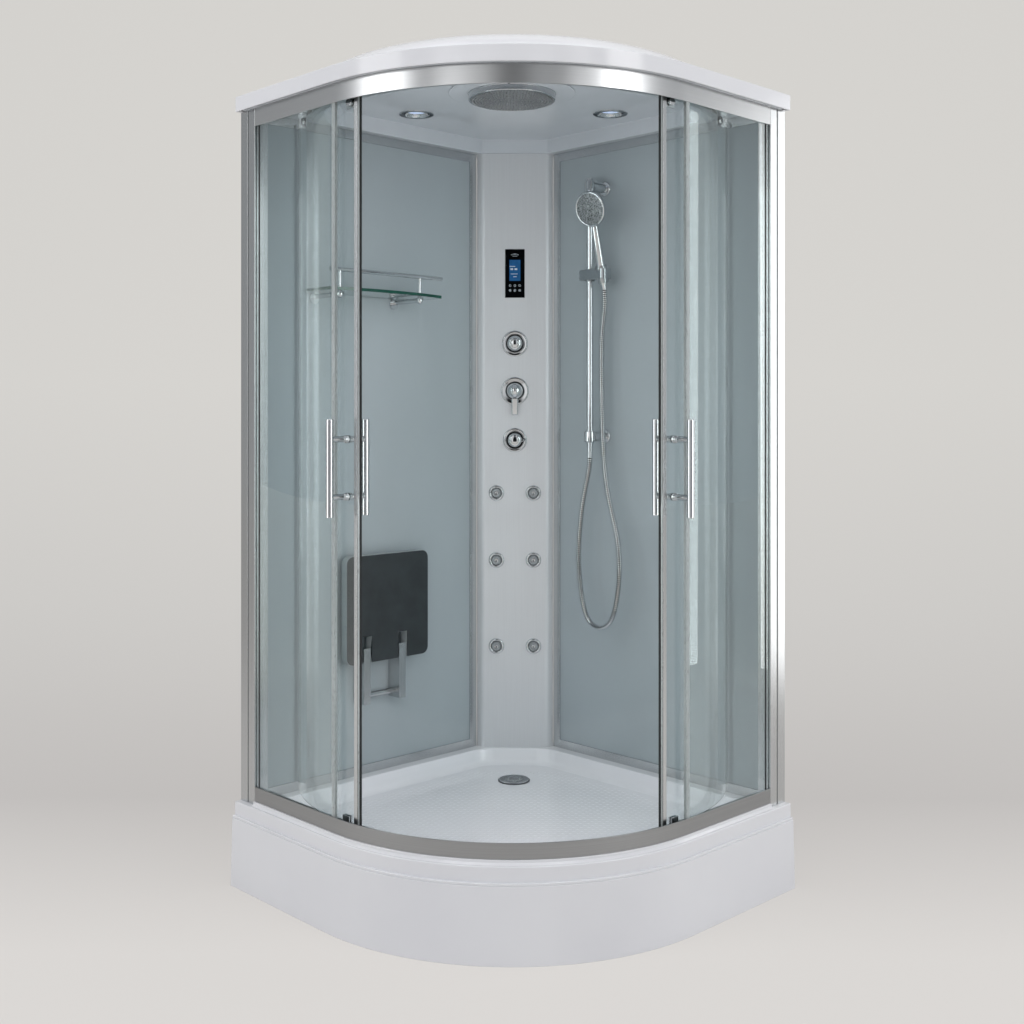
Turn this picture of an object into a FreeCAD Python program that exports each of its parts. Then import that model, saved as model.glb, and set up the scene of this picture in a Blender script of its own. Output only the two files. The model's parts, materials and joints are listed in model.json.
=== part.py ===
import FreeCAD, Part
import math
import os

import Sketcher

os.makedirs("parts", exist_ok=True)
doc = FreeCAD.newDocument("ShowerCabin")
sheet = doc.addObject("Spreadsheet::Sheet", "Dims")
Vector = FreeCAD.Vector
Rotation = FreeCAD.Rotation
Placement = FreeCAD.Placement
root2 = math.sqrt(2)
degrees = 180 / math.pi


# Sizes: each named size is a cell, and sums of sizes carry their formula with them

class Size:
    def __init__(self, value, text):
        self.value = float(value)
        self.text = text

    def __float__(self):
        return self.value

    def __add__(self, other):
        other = as_size(other)
        return Size(self.value + other.value, f"({self.text} + {other.text})")

    def __sub__(self, other):
        other = as_size(other)
        return Size(self.value - other.value, f"({self.text} - {other.text})")

    def __mul__(self, other):
        other = as_size(other)
        return Size(self.value * other.value, f"({self.text} * {other.text})")

    def __truediv__(self, other):
        other = as_size(other)
        return Size(self.value / other.value, f"({self.text} / {other.text})")

    def __radd__(self, other):
        return as_size(other) + self

    def __rsub__(self, other):
        return as_size(other) - self

    def __rmul__(self, other):
        return as_size(other) * self

    def __neg__(self):
        return as_size(0) - self


def as_size(value):
    return value if isinstance(value, Size) else Size(value, f"{float(value):.9g}")


named = []


def size(name, value):
    named.append(name)
    row = len(named)
    sheet.set(f"A{row}", name)
    sheet.set(f"B{row}", str(value))
    sheet.setAlias(f"B{row}", name)
    return Size(value, f"Dims.{name}")


def bind(thing, field, value):
    value = as_size(value)
    if "Dims" in value.text:
        thing.setExpression(field, value.text)


# Sketches and features

def circle(x, y, radius):
    return ("circle", x, y, radius)


def box(x_low, x_high, y_low, y_high):
    return [(x_low, y_low), (x_high, y_low), (x_high, y_high), (x_low, y_high)]


def bulge(start, end, radius, turn):
    # An arc of under a half circle from start to end, turning left for +1 and right for -1
    (x1, y1), (x2, y2) = start, end
    half = math.dist(start, end) / 2
    rise = math.sqrt(max(radius * radius - half * half, 0))
    away = turn * rise / (2 * half)
    centre = Vector((x1 + x2) / 2 - (y2 - y1) * away, (y1 + y2) / 2 + (x2 - x1) * away, 0)
    first, last = (start, end) if turn > 0 else (end, start)
    low = math.atan2(first[1] - centre.y, first[0] - centre.x)
    high = math.atan2(last[1] - centre.y, last[0] - centre.x)
    return Part.ArcOfCircle(Part.Circle(centre, Vector(0, 0, 1), radius), low, high)


def outline(body, plane, level, loops):
    # Each loop is a circle or a list of corners; a corner with a radius and a turn is reached by an arc
    sketch = body.newObject("Sketcher::SketchObject", body.Name + "_outline")
    roles = {feature.Role: feature for feature in body.Origin.OriginFeatures}
    sketch.AttachmentSupport = [(roles[plane + "_Plane"], "")]
    sketch.MapMode = "FlatFace"
    sketch.AttachmentOffset = Placement(Vector(0, 0, float(level)), Rotation())
    bind(sketch, "AttachmentOffset.Base.z", level)
    shapes = []
    rules = []
    formulas = []

    def rule(kind, *ids):
        value = as_size(ids[-1])
        formulas.append((len(rules), value))
        rules.append(Sketcher.Constraint(kind, *ids[:-1], value.value))

    for loop in loops:
        first = len(shapes)
        if loop[0] == "circle":
            x, y, radius = loop[1:]
            shapes.append(Part.Circle(Vector(float(x), float(y), 0), Vector(0, 0, 1), float(radius)))
            rule("DistanceX", first, 3, x)
            rule("DistanceY", first, 3, y)
            rule("Radius", first, radius)
            continue
        ends = []
        for i, corner in enumerate(loop):
            start = (float(loop[i - 1][0]), float(loop[i - 1][1]))
            end = (float(corner[0]), float(corner[1]))
            if len(corner) == 2:
                shapes.append(Part.LineSegment(Vector(*start, 0), Vector(*end, 0)))
                ends.append((1, 2))
            else:
                shapes.append(bulge(start, end, float(corner[2]), corner[3]))
                ends.append((1, 2) if corner[3] > 0 else (2, 1))
                rule("Radius", first + i, corner[2])
            rule("DistanceX", first + i, ends[i][1], corner[0])
            rule("DistanceY", first + i, ends[i][1], corner[1])
        for i in range(len(loop)):
            after = (i + 1) % len(loop)
            rules.append(Sketcher.Constraint("Coincident", first + i, ends[i][1], first + after, ends[after][0]))
    sketch.addGeometry(shapes, False)
    sketch.addConstraint(rules)
    for index, value in formulas:
        bind(sketch, f"Constraints[{index}]", value)
    return sketch


cuts = []
nodes = {}


def make(label, frame=Placement()):
    body = doc.addObject("PartDesign::Body", label)
    body.Label = label
    body.Placement = frame
    return body


def node(label, *things):
    # A node of one piece keeps that piece; a node of several alike pieces is a compound of them
    thing = things[0]
    if len(things) > 1:
        thing = doc.addObject("Part::Compound", label)
        thing.Links = list(things)
    thing.Label = label
    nodes[label] = thing
    return thing


def add(body, loops, low, high, plane="XY"):
    low, high = as_size(low), as_size(high)
    pad = body.newObject("PartDesign::Pad", body.Name + "_pad")
    pad.Profile = outline(body, plane, low, loops)
    pad.Length = (high - low).value
    bind(pad, "Length", high - low)
    return pad


def cut(body, loops, low, high, plane="XY"):
    low, high = as_size(low), as_size(high)
    pocket = body.newObject("PartDesign::Pocket", body.Name + "_pocket")
    pocket.Profile = outline(body, plane, low, loops)
    pocket.Reversed = True
    pocket.Length = (high - low).value
    bind(pocket, "Length", high - low)
    cuts.append(pocket)
    return pocket


def turned(body, profile, angle=360):
    sketch = outline(body, "XZ", 0, [profile])
    spin = body.newObject("PartDesign::Revolution", body.Name + "_turned")
    spin.Profile = sketch
    spin.ReferenceAxis = (sketch, ["V_Axis"])
    spin.Angle = float(angle)
    bind(spin, "Angle", angle)
    return spin


def rod(name, radius, length, frame=Placement()):
    thing = doc.addObject("Part::Cylinder", name)
    thing.Radius = float(radius)
    thing.Height = float(length)
    bind(thing, "Radius", radius)
    bind(thing, "Height", length)
    thing.Placement = frame
    return thing


def block(name, x_low, x_high, y_low, y_high, z_low, z_high, frame=Placement()):
    thing = doc.addObject("Part::Box", name)
    for field, low, high in (("Length", x_low, x_high), ("Width", y_low, y_high), ("Height", z_low, z_high)):
        span = as_size(high) - low
        setattr(thing, field, span.value)
        bind(thing, field, span)
    thing.Placement = frame * Placement(Vector(float(x_low), float(y_low), float(z_low)), Rotation())
    return thing


def joined(name, things):
    whole = doc.addObject("Part::MultiFuse", name)
    whole.Shapes = list(things)
    whole.Refine = True
    return whole


def bored(name, base, tool):
    whole = doc.addObject("Part::Cut", name)
    whole.Base = base
    whole.Tool = tool
    return whole


def at(x, y, z, axis=Vector(0, 0, 1), angle=0):
    return Placement(Vector(float(x), float(y), float(z)), Rotation(axis, float(angle)))


along_x = Rotation(Vector(0, 1, 0), 90)
along_y = Rotation(Vector(1, 0, 0), -90)

# Plan: a quadrant that stands in the corner of a room. The back corner is at the back of the middle line
gap = size("gap", 0.3)
pin_fit = size("pin_fit", 0.05)
side = size("side", 1000)
corner_radius = size("corner_radius", 600)
straight = side - corner_radius
back_y = (corner_radius + straight * root2) / 2
arc_y = back_y - straight * root2

# Levels above the floor
apron_height = size("apron_height", 170)
lip_height = size("lip_height", 6)
rim_height = size("rim_height", 40)
ridge_height = size("ridge_height", 10)
cabin_height = size("cabin_height", 1724)
rim_top = apron_height + rim_height
rail_seat = rim_top + ridge_height
wall_top = rail_seat + cabin_height

# Frames: the corner frame runs X along the left wall and Y along the right wall.
# A wall frame runs x along its wall (backwards on the left), y up and z into the cabin.
middle = at(0, back_y, 0)
corner = middle * Placement(Vector(), Rotation(Vector(0, 0, 1), -135))
arc_centre = at(0, arc_y, 0)
right_wall = corner * Placement(Vector(), Rotation(Vector(1, 1, 1), 120))
left_wall = corner * Placement(Vector(), Rotation(Vector(0, 1, 1), 180))


def radial(angle, r=0, z=0):
    # x points out from the middle of the doors' arc, at an angle seen from above
    return arc_centre * Placement(Vector(), Rotation(Vector(0, 0, 1), float(angle))) * at(r, 0, z)


def quadrant(inset, back):
    front = side - inset
    return [(back, back), (front, back), (front, straight), (straight, front, corner_radius - inset, 1), (back, front)]


def strip(outer, inner, start):
    # A band along the front, between two insets from the outline
    out = side - outer
    into = side - inner
    return [
        (out, start), (out, straight), (straight, out, corner_radius - outer, 1), (start, out),
        (start, into), (straight, into), (into, straight, corner_radius - inner, -1), (into, start),
    ]


def swapped(loop):
    return [(c[1], c[0]) + ((c[2], -c[3]) if len(c) > 2 else ()) for c in loop]


def both_sides(label, loops, low, high):
    # The same upright section on the left, and mirrored on the right
    bodies = []
    for name, turn in (("left", list), ("right", swapped)):
        body = make(f"{label}_{name}", corner)
        add(body, [turn(loop) for loop in loops], low, high)
        bodies.append(body)
    return bodies


# Tray: an acrylic shell with a basin, an undercut lip over the apron and a ridge that seats the lower rail
tray_inset = size("tray_inset", 13)
lip_inset = size("lip_inset", 6)
tray_wall = size("tray_wall", 6)
basin_depth = size("basin_depth", 42)
basin_front = size("basin_front", 85)
basin_back = size("basin_back", 70)
basin_chamfer = size("basin_chamfer", 194)
ridge_outer = size("ridge_outer", 24)
ridge_step = size("ridge_step", 5)
ridge_inner = size("ridge_inner", 72)
post_end = size("post_end", 66)
drain_back = size("drain_back", 370)
drain_hole = size("drain_hole", 38)
rail_start = post_end + gap
basin_floor = rim_top - basin_depth
tray_under = basin_floor - tray_wall
drain = drain_back / root2


def room(back, bevel_at, front_inset, grow=0):
    # The inside outline: along both walls, cut off square to the middle line at the column, and curved in front
    back = back - grow
    front = side - front_inset + grow
    bevel = (bevel_at - grow) * root2 - back
    reach = corner_radius - front_inset + grow
    return [(bevel, back), (front, back), (front, straight), (straight, front, reach, 1), (back, front), (back, bevel)]


def basin(grow):
    return room(basin_back, basin_chamfer, basin_front, grow)


tray = make("tray", corner)
add(tray, [quadrant(tray_inset, 0)], tray_under, rim_top)
add(tray, [quadrant(lip_inset, 0)], apron_height, apron_height + lip_height)
add(tray, [strip(ridge_outer - ridge_step, ridge_inner, rail_start)], rim_top, rim_top + ridge_height / 2)
add(tray, [strip(ridge_outer, ridge_inner, rail_start)], rim_top + ridge_height / 2, rail_seat)
cut(tray, [basin(0)], basin_floor, rail_seat + ridge_height)
cut(tray, [quadrant(tray_inset + tray_wall, tray_wall), basin(tray_wall)], tray_under, rim_top - tray_wall)
cut(tray, [circle(drain, drain, drain_hole)], tray_under, basin_floor)
node("tray", tray)

# Apron: a curved panel under the lip, leaning in a little towards its top
apron_wall = size("apron_wall", 4)
apron_lean = size("apron_lean", 5)
apron = make("apron_panel", corner)
apron_loft = apron.newObject("PartDesign::AdditiveLoft", "apron_loft")
apron_loft.Profile = outline(apron, "XY", 0, [strip(as_size(0), apron_wall, 0)])
apron_loft.Sections = [outline(apron, "XY", apron_height, [strip(apron_lean, apron_lean + apron_wall, 0)])]
apron_loft.Ruled = True
node("apron_panel", apron)

# Welded frame of square tube under the tray, and its levelling feet
tube = size("tube", 30)
frame_inset = size("frame_inset", 60)
frame_bar = size("frame_bar", 600)
frame_low = tray_under - tube
bar_reach = size("bar_reach", 862)
steel = make("tray_frame", corner)
add(steel, [quadrant(frame_inset, frame_inset), quadrant(frame_inset + tube, frame_inset + tube)], frame_low, tray_under)
add(steel, [box(frame_bar, frame_bar + tube, frame_inset + tube / 2, bar_reach)], frame_low, tray_under)
add(steel, [box(frame_inset + tube / 2, bar_reach, frame_bar, frame_bar + tube)], frame_low, tray_under)
node("tray_frame", steel)
foot_radius = size("foot_radius", 25)
foot_disc = size("foot_disc", 8)
stud_radius = size("stud_radius", 6)
near = frame_inset + tube / 2
far = side - near
apex = straight + (corner_radius - near) / root2
cross = frame_bar + tube / 2
feet = []
for foot_x, foot_y in ((near, near), (far, near), (near, far), (far, straight), (straight, far), (apex, apex), (cross, cross)):
    foot = make("foot", corner * at(foot_x, foot_y, 0))
    turned(foot, [(0, 0), (foot_radius, 0), (foot_radius, foot_disc), (stud_radius, foot_disc), (stud_radius, frame_low), (0, frame_low)])
    feet.append(foot)
node("levelling_feet", *feet)

# Waste trap clamped through the tray floor, with its outlet pipe square to the left wall, and the loose cover over it
throat = size("throat", 32)
trap_radius = size("trap_radius", 48)
trap_wall = size("trap_wall", 3)
trap_depth = size("trap_depth", 86)
waste_rim = size("waste_rim", 44)
waste_flange = size("waste_flange", 2)
throat_long = size("throat_long", 10)
waste_pipe = size("waste_pipe", 20)
waste_reach = size("waste_reach", 130)
waste_long = size("waste_long", 70)
waste_collar = size("waste_collar", 24)
waste_lift = size("waste_lift", 1)
waste_seat = size("waste_seat", 39)
trap_low = tray_under - trap_depth
waste_level = trap_low + waste_collar + waste_lift
waste_neck = drain_hole - gap
trap = make("waste_trap", middle * at(0, -float(drain_back), 0, Vector(0, 0, 1), 45))
turned(trap, [
    (0, trap_low), (trap_radius, trap_low), (trap_radius, tray_under - gap), (waste_neck, tray_under - gap),
    (waste_neck, basin_floor + gap), (waste_rim, basin_floor + gap), (waste_rim, basin_floor + waste_flange),
    (throat, basin_floor + waste_flange), (throat, tray_under - throat_long), (trap_radius - trap_wall, tray_under - throat_long),
    (trap_radius - trap_wall, trap_low + trap_wall), (0, trap_low + trap_wall),
])
add(trap, [circle(0, waste_level, waste_collar)], waste_long - waste_reach, -waste_seat, "XZ")
add(trap, [circle(0, waste_level, waste_pipe)], -waste_reach, waste_long - waste_reach, "XZ")
cut(trap, [circle(0, waste_level, waste_pipe - trap_wall)], -waste_reach - 1, -throat, "XZ")
node("waste_trap", trap)
cover_radius = size("cover_radius", 41.5)
cover_thick = size("cover_thick", 3)
cover_stem = size("cover_stem", 6)
cover_low = basin_floor + waste_flange + gap
cover = make("drain_cover", middle * at(0, -float(drain_back), 0))
turned(cover, [
    (0, cover_low - 20), (cover_stem, cover_low - 20), (cover_stem, cover_low), (cover_radius, cover_low),
    (cover_radius, cover_low + cover_thick), (0, cover_low + cover_thick),
])
vane = throat - gap
add(cover, [box(-vane, vane, as_size(-1.5), 1.5)], cover_low - 16, cover_low)
add(cover, [box(as_size(-1.5), 1.5, -vane, vane)], cover_low - 16, cover_low)
node("drain_cover", cover)

# Upright aluminium: a channel on each wall, and a post that slides into it and holds the front
post_start = size("post_start", 39)
post_width = size("post_width", 32)
rail_outer = size("rail_outer", 28)
wall_clear = size("wall_clear", 4)
channel_end = size("channel_end", 34)
channel_wall = size("channel_wall", 2)
tongue_back = size("tongue_back", 10)
post_skin = size("post_skin", 2)
glass_inset = size("glass_inset", 33)
glass = size("glass", 5)
glass_start = size("glass_start", 60)
post_out = side - rail_outer
post_in = post_out - post_width
slot_out = side - glass_inset + gap
slot_in = side - glass_inset - glass - gap
channel_loop = [
    (post_in, wall_clear), (post_out, wall_clear), (post_out, channel_end), (post_out - channel_wall, channel_end),
    (post_out - channel_wall, wall_clear + channel_wall), (post_in + channel_wall, wall_clear + channel_wall),
    (post_in + channel_wall, channel_end), (post_in, channel_end),
]
node("wall_profiles", *both_sides("wall_profile", [channel_loop], rim_top, wall_top))
tongue = channel_wall + gap
post_loop = [
    (post_in, post_start), (post_in + tongue, post_start), (post_in + tongue, tongue_back),
    (post_out - tongue, tongue_back), (post_out - tongue, post_start), (post_out, post_start),
    (post_out, post_end), (slot_out, post_end), (slot_out, glass_start - gap), (slot_in, glass_start - gap),
    (slot_in, post_end), (post_in, post_end),
]
tongue_hollow = box(post_in + tongue + post_skin, post_out - tongue - post_skin, tongue_back + post_skin, post_start - post_skin)
post_hollow = box(post_in + post_skin, post_out - post_skin, post_start + post_skin, glass_start - post_skin - gap)
node("corner_posts", *both_sides("corner_post", [post_loop, tongue_hollow, post_hollow], rim_top, wall_top))

# Rails between the posts: a base on the ridge, an outer web, a lip behind the fixed glass and an inner web
rail_wall = size("rail_wall", 3)
rail_inner = size("rail_inner", 69)
lip_start = size("lip_start", 39.3)
lip_wall = size("lip_wall", 2.7)
lower_web = size("lower_web", 36)
lower_lip = size("lower_lip", 20)
upper_web = size("upper_web", 44)
upper_lip = size("upper_lip", 29)
upper_plate = size("upper_plate", 4)
plate_inner = size("plate_inner", 75)
lower_rail = make("lower_rail", corner)
rail_base = rail_seat + rail_wall
add(lower_rail, [strip(rail_outer, rail_inner, rail_start)], rail_seat, rail_base)
add(lower_rail, [strip(rail_outer, rail_outer + rail_wall, rail_start)], rail_base, rail_seat + lower_web)
add(lower_rail, [strip(lip_start, lip_start + lip_wall, rail_start)], rail_base, rail_seat + lower_lip)
add(lower_rail, [strip(rail_inner - rail_wall, rail_inner, rail_start)], rail_base, rail_seat + lower_lip)
node("lower_rail", lower_rail)
upper_rail = make("upper_rail", corner)
plate_under = wall_top - upper_plate
add(upper_rail, [strip(rail_outer, plate_inner, rail_start)], plate_under, wall_top)
add(upper_rail, [strip(rail_outer, rail_outer + rail_wall, rail_start)], wall_top - upper_web, plate_under)
add(upper_rail, [strip(lip_start, lip_start + lip_wall, rail_start)], wall_top - upper_lip, plate_under)
node("upper_rail", upper_rail)

# Curved roller track screwed under the upper rail: web, ledge for the rollers and top flange
track_inset = size("track_inset", 75)
track_radius = corner_radius - track_inset
track_half = size("track_half", 69.5)
ledge_width = size("ledge_width", 17)
track_flange = size("track_flange", 20)
track_drop = size("track_drop", 29)
track = make("upper_track", radial(270 - float(track_half)))
track_low = plate_under - track_drop
web_out = track_radius + rail_wall
turned(track, [
    (track_radius, track_low), (track_radius + ledge_width, track_low), (track_radius + ledge_width, track_low + rail_wall),
    (web_out, track_low + rail_wall), (web_out, plate_under - rail_wall), (track_radius + track_flange, plate_under - rail_wall),
    (track_radius + track_flange, plate_under), (track_radius, plate_under),
], track_half * 2)
node("upper_track", track)

# Fixed glass beside each post, its clear edge seal, and the black strips and door stops
edge_short = size("edge_short", 9)
seal_cover = size("seal_cover", 6)
glass_lift = size("glass_lift", 5)
glass_headroom = size("glass_headroom", 4)
glass_low = rail_base + glass_lift
glass_high = plate_under - glass_headroom
glass_end = straight - edge_short
glass_loop = box(side - glass_inset - glass, side - glass_inset, glass_start, glass_end)
for name, body in zip(("left", "right"), both_sides("fixed_glass", [glass_loop], glass_low, glass_high)):
    node(f"{name}_fixed_glass", body)
seal_out = side - rail_outer - rail_wall - gap
seal_in = side - lip_start + gap
seal_loop = [
    (seal_in, glass_end - seal_cover), (slot_in + 0.1, glass_end - seal_cover), (slot_in + 0.1, glass_end + 0.2),
    (slot_out - 0.1, glass_end + 0.2), (slot_out - 0.1, glass_end - seal_cover), (seal_out, glass_end - seal_cover),
    (seal_out, glass_end + seal_cover), (seal_in, glass_end + seal_cover),
]
node("edge_seals", *both_sides("edge_seal", [seal_loop], glass_low, glass_high))
strip_start = size("strip_start", 80)
strip_wide = size("strip_wide", 4)
stop_wide = size("stop_wide", 5)
stop_thick = size("stop_thick", 5)
gasket_loop = box(side - glass_inset + gap, side - glass_inset + 2.5, strip_start, strip_start + strip_wide)
gaskets = both_sides("gasket", [gasket_loop], rail_seat + lower_web + gap, wall_top - upper_web - gap)
stop_frame = radial(270)
lower_stop = block(
    "lower_stop", corner_radius - rail_inner + rail_wall + gap, corner_radius - lip_start - lip_wall - gap,
    -stop_wide / 2, stop_wide / 2, rail_base, rail_seat + lower_lip, stop_frame,
)
upper_stop = block(
    "upper_stop", corner_radius - rail_outer - rail_wall - gap - stop_thick, corner_radius - rail_outer - rail_wall - gap,
    -stop_wide / 2, stop_wide / 2, wall_top - upper_web, wall_top - upper_lip - gap, stop_frame,
)
node("front_gaskets", *gaskets, lower_stop, upper_stop)

# Doors: curved glass that runs inside the fixed glass, standing open at rest.
# Distances along a door are measured from its leading edge, in degrees about the arc's centre.
door_inset = size("door_inset", 53)
door_radius = corner_radius - door_inset
door_gap = size("door_gap", 11.7)
door_open = size("door_open", 38.2)
door_span = size("door_span", 46.6)
door_low = rail_base + size("door_lift", 20)
door_high = plate_under - size("door_headroom", 8)
lead_seal = size("lead_seal", 6)
edge_width = size("edge_width", 11)
edge_thick = size("edge_thick", 10)
edge_grip = size("edge_grip", 8)
tail_seal = size("tail_seal", 5)
door_middle = door_radius + glass / 2
glass_first = (lead_seal + edge_width - edge_grip) / door_middle * degrees
glass_last = door_span - tail_seal / door_middle * degrees
handle_angle = size("handle_angle", 4.6)
handle_bar = size("handle_bar", 7)
handle_reach = size("handle_reach", 50)
handle_low = size("handle_low", 948)
handle_tall = size("handle_tall", 224)
handle_margin = size("handle_margin", 46)
standoff = size("standoff", 5.5)
bolt = size("bolt", 4)
hanger_first = size("hanger_first", 3.5)
hanger_last = size("hanger_last", 28)
hanger_wide = size("hanger_wide", 30)
hanger_tall = size("hanger_tall", 50)
hanger_plate = size("hanger_plate", 2.7)
cap_radius = size("cap_radius", 9)
cap_thick = size("cap_thick", 5)
wheel_radius = size("wheel_radius", 10.7)
wheel_width = size("wheel_width", 10)
axle = size("axle", 3)
guide_wide = size("guide_wide", 24)
guide_wall = size("guide_wall", 3.2)
door_out = door_radius + glass
wheel_level = track_low + rail_wall + wheel_radius + gap
wheel_inner = track_radius + 7
hanger_high = plate_under - 5
bolt_level = hanger_high - 37
plate_out = door_radius - gap
plate_in = plate_out - hanger_plate
bolt_hole = bolt + gap
handle_levels = (handle_low + handle_margin, handle_low + handle_tall - handle_margin)


def outward(angle, r, z):
    return radial(angle, r, z) * Placement(Vector(), along_x)


for name, away in (("left", -1), ("right", 1)):
    lead = 270 + away * float(door_open)
    handle_at = lead + away * float(handle_angle)
    hanger_at = [lead + away * float(hanger_first), lead + away * float(hanger_last)]
    first, last = lead + away * float(glass_first), lead + away * float(glass_last)
    pane = make(f"{name}_pane", radial(min(first, last)))
    turned(pane, box(door_radius, door_out, door_low, door_high), glass_last - glass_first)
    drills = [rod("drill", bolt_hole, glass * 3, outward(handle_at, door_radius - glass, z)) for z in handle_levels]
    drills += [rod("drill", bolt_hole, glass * 3, outward(a, door_radius - glass, bolt_level)) for a in hanger_at]
    node(f"{name}_door_glass", bored(f"{name}_door_glass", pane, joined(f"{name}_drills", drills)))

    # Edge profile: a U over the leading edge of the glass
    edge = make(f"{name}_door_edge", radial(lead))
    inner = door_middle - edge_thick / 2
    outer = door_middle + edge_thick / 2
    near_edge = away * (lead_seal + gap)
    far_edge = away * (lead_seal + edge_width)
    seat = away * (lead_seal + edge_width - edge_grip - gap)
    add(edge, [[
        (inner, near_edge), (outer, near_edge), (outer, far_edge), (door_out + gap, far_edge), (door_out + gap, seat),
        (door_radius - gap - 0.1, seat), (door_radius - gap - 0.1, far_edge), (inner, far_edge),
    ]], door_low, door_high)
    node(f"{name}_door_edge", edge)

    # Magnet seal on the leading edge and lip seal on the trailing edge
    magnet = make(f"{name}_magnet", radial(lead))
    add(magnet, [box(inner + 1, outer - 1, *sorted((away * 0.05, away * float(lead_seal))))], door_low, door_high)
    tail = make(f"{name}_tail", radial(lead + away * float(door_span)))
    add(tail, [box(door_radius - 1, door_out + 1, *sorted((-away * (float(tail_seal) - 0.3), 0)))], door_low, door_high)
    node(f"{name}_door_seals", magnet, tail)

    # Handle: a bar outside and a bar inside, on two pairs of standoffs bolted through the glass
    pieces = []
    for reach in (door_out + handle_reach, door_radius - handle_reach):
        pieces.append(rod("handle_bar_rod", handle_bar, handle_tall, radial(handle_at, reach, handle_low)))
    for level in handle_levels:
        pieces.append(rod("standoff_rod", standoff, handle_reach - gap, outward(handle_at, door_out + gap, level)))
        pieces.append(rod("standoff_rod", standoff, handle_reach - gap, outward(handle_at, door_radius - handle_reach, level)))
        pieces.append(rod("flange_rod", cap_radius, 3, outward(handle_at, door_out + gap, level)))
        pieces.append(rod("flange_rod", cap_radius, 3, outward(handle_at, door_radius - gap - 3, level)))
        pieces.append(rod("bolt_rod", bolt, glass + 4, outward(handle_at, door_radius - 2, level)))
    node(f"{name}_door_handle", joined(f"{name}_door_handle", pieces))

    # Roller hangers clamped through the glass, each with an axle pin, and the guide at the foot of the door
    hangers = []
    for angle in hanger_at:
        frame = radial(angle)
        half = hanger_wide / 2
        hangers.append(joined("hanger", [
            block("hanger_plate_block", plate_in, plate_out, -half, half, hanger_high - hanger_tall, hanger_high, frame),
            rod("hanger_bolt", bolt, glass + 4, outward(angle, plate_out - 1, bolt_level)),
            rod("hanger_cap", cap_radius, cap_thick, outward(angle, door_out + gap, bolt_level)),
            rod("axle_pin", axle, plate_in - wheel_inner + 2, outward(angle, wheel_inner - 1, wheel_level)),
            rod("axle_head", axle + 1.5, 1.3, outward(angle, wheel_inner - gap - 1.3, wheel_level)),
        ]))
    guide = make(f"{name}_guide", radial(handle_at))
    add(guide, [[
        (door_radius - gap - guide_wall, door_low - 14), (door_out + gap + guide_wall, door_low - 14),
        (door_out + gap + guide_wall, door_low + 19), (door_out + gap, door_low + 19),
        (door_out + gap, door_low - gap), (door_radius - gap, door_low - gap),
        (door_radius - gap, door_low + 19), (door_radius - gap - guide_wall, door_low + 19),
    ]], -guide_wide / 2, guide_wide / 2, "XZ")
    node(f"{name}_door_hangers", *hangers, guide)

    # Rollers on the axle pins
    for place, angle in zip(("lead", "tail"), hanger_at):
        wheel = make(f"{name}_{place}_roller", outward(angle, wheel_inner, wheel_level))
        turned(wheel, [
            (axle + pin_fit, 0), (wheel_radius - 0.6, 0), (wheel_radius, 0.6), (wheel_radius, wheel_width - 0.6),
            (wheel_radius - 0.6, wheel_width), (axle + pin_fit, wheel_width),
        ])
        node(f"{name}_{place}_roller", wheel)

# Walls: an aluminium frame on each side with a pane of painted glass held behind its front lip
wall_face = size("wall_face", 40)
frame_back = size("frame_back", 10)
frame_wide = size("frame_wide", 25)
frame_lip = size("frame_lip", 3.7)
frame_rebate = size("frame_rebate", 14)
column_half = size("column_half", 113)
wall_from = wall_face + column_half * root2
wall_to = post_in - 2
lip_back = wall_face - frame_lip
wall_frames = []
wall_panes = []
for name, frame, way in (("left", left_wall, -1), ("right", right_wall, 1)):
    def pane_box(inset):
        low, high = way * (wall_from + inset), way * (wall_to - inset)
        return box(*sorted((low, high), key=float), rim_top + inset, wall_top - inset)

    surround = make(f"{name}_surround", frame)
    add(surround, [pane_box(as_size(0)), pane_box(frame_wide)], lip_back, wall_face)
    add(surround, [pane_box(as_size(0)), pane_box(frame_rebate)], frame_back, lip_back)
    wall_frames.append(surround)
    pane = make(f"{name}_wall_pane", frame)
    add(pane, [pane_box(frame_rebate + gap)], lip_back - gap - glass, lip_back - gap)
    wall_panes.append(pane)
node("wall_frames", *wall_frames)
node("wall_glasses", *wall_panes)

# Column in the back corner: a folded cover, nearly flat in front, pierced for its fittings
column_front = size("column_front", 182)
column_side = size("column_side", 169.4)
column_flat = size("column_flat", 94)
column_return = size("column_return", 120)
sheet_metal = size("sheet_metal", 2)
panel_half = size("panel_half", 29.3)
panel_low = size("panel_low", 1522)
panel_high = size("panel_high", 1665)
panel_boss = size("panel_boss", 7)
diverter_level = size("diverter_level", 1389)
mixer_level = size("mixer_level", 1250.6)
flow_level = size("flow_level", 1107.5)
stem_hole = size("stem_hole", 10)
jet_offset = size("jet_offset", 54)
jet_levels = (size("jet_high", 952.7), size("jet_middle", 757), size("jet_low", 505.8))
jet_hole = size("jet_hole", 17.5)
column_width = column_half - gap
thin_side = column_width - sheet_metal
column = make("column", middle)
flat_in = column_flat - sheet_metal / 3
front_in = column_front - sheet_metal
add(column, [[
    (-column_width, -column_return), (-column_width, -column_side), (-column_flat, -column_front),
    (column_flat, -column_front), (column_width, -column_side), (column_width, -column_return),
    (thin_side, -column_return), (thin_side, -column_side + sheet_metal / 2), (flat_in, -front_in),
    (-flat_in, -front_in), (-thin_side, -column_side + sheet_metal / 2), (-thin_side, -column_return),
]], rim_top, wall_top)
holes = [circle(0, level, stem_hole) for level in (diverter_level, mixer_level, flow_level)]
holes += [circle(way * jet_offset, level, jet_hole) for level in jet_levels for way in (-1, 1)]
holes.append(box(-panel_half + panel_boss - gap, panel_half - panel_boss + gap, panel_low + panel_boss, panel_high - panel_boss))
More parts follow.
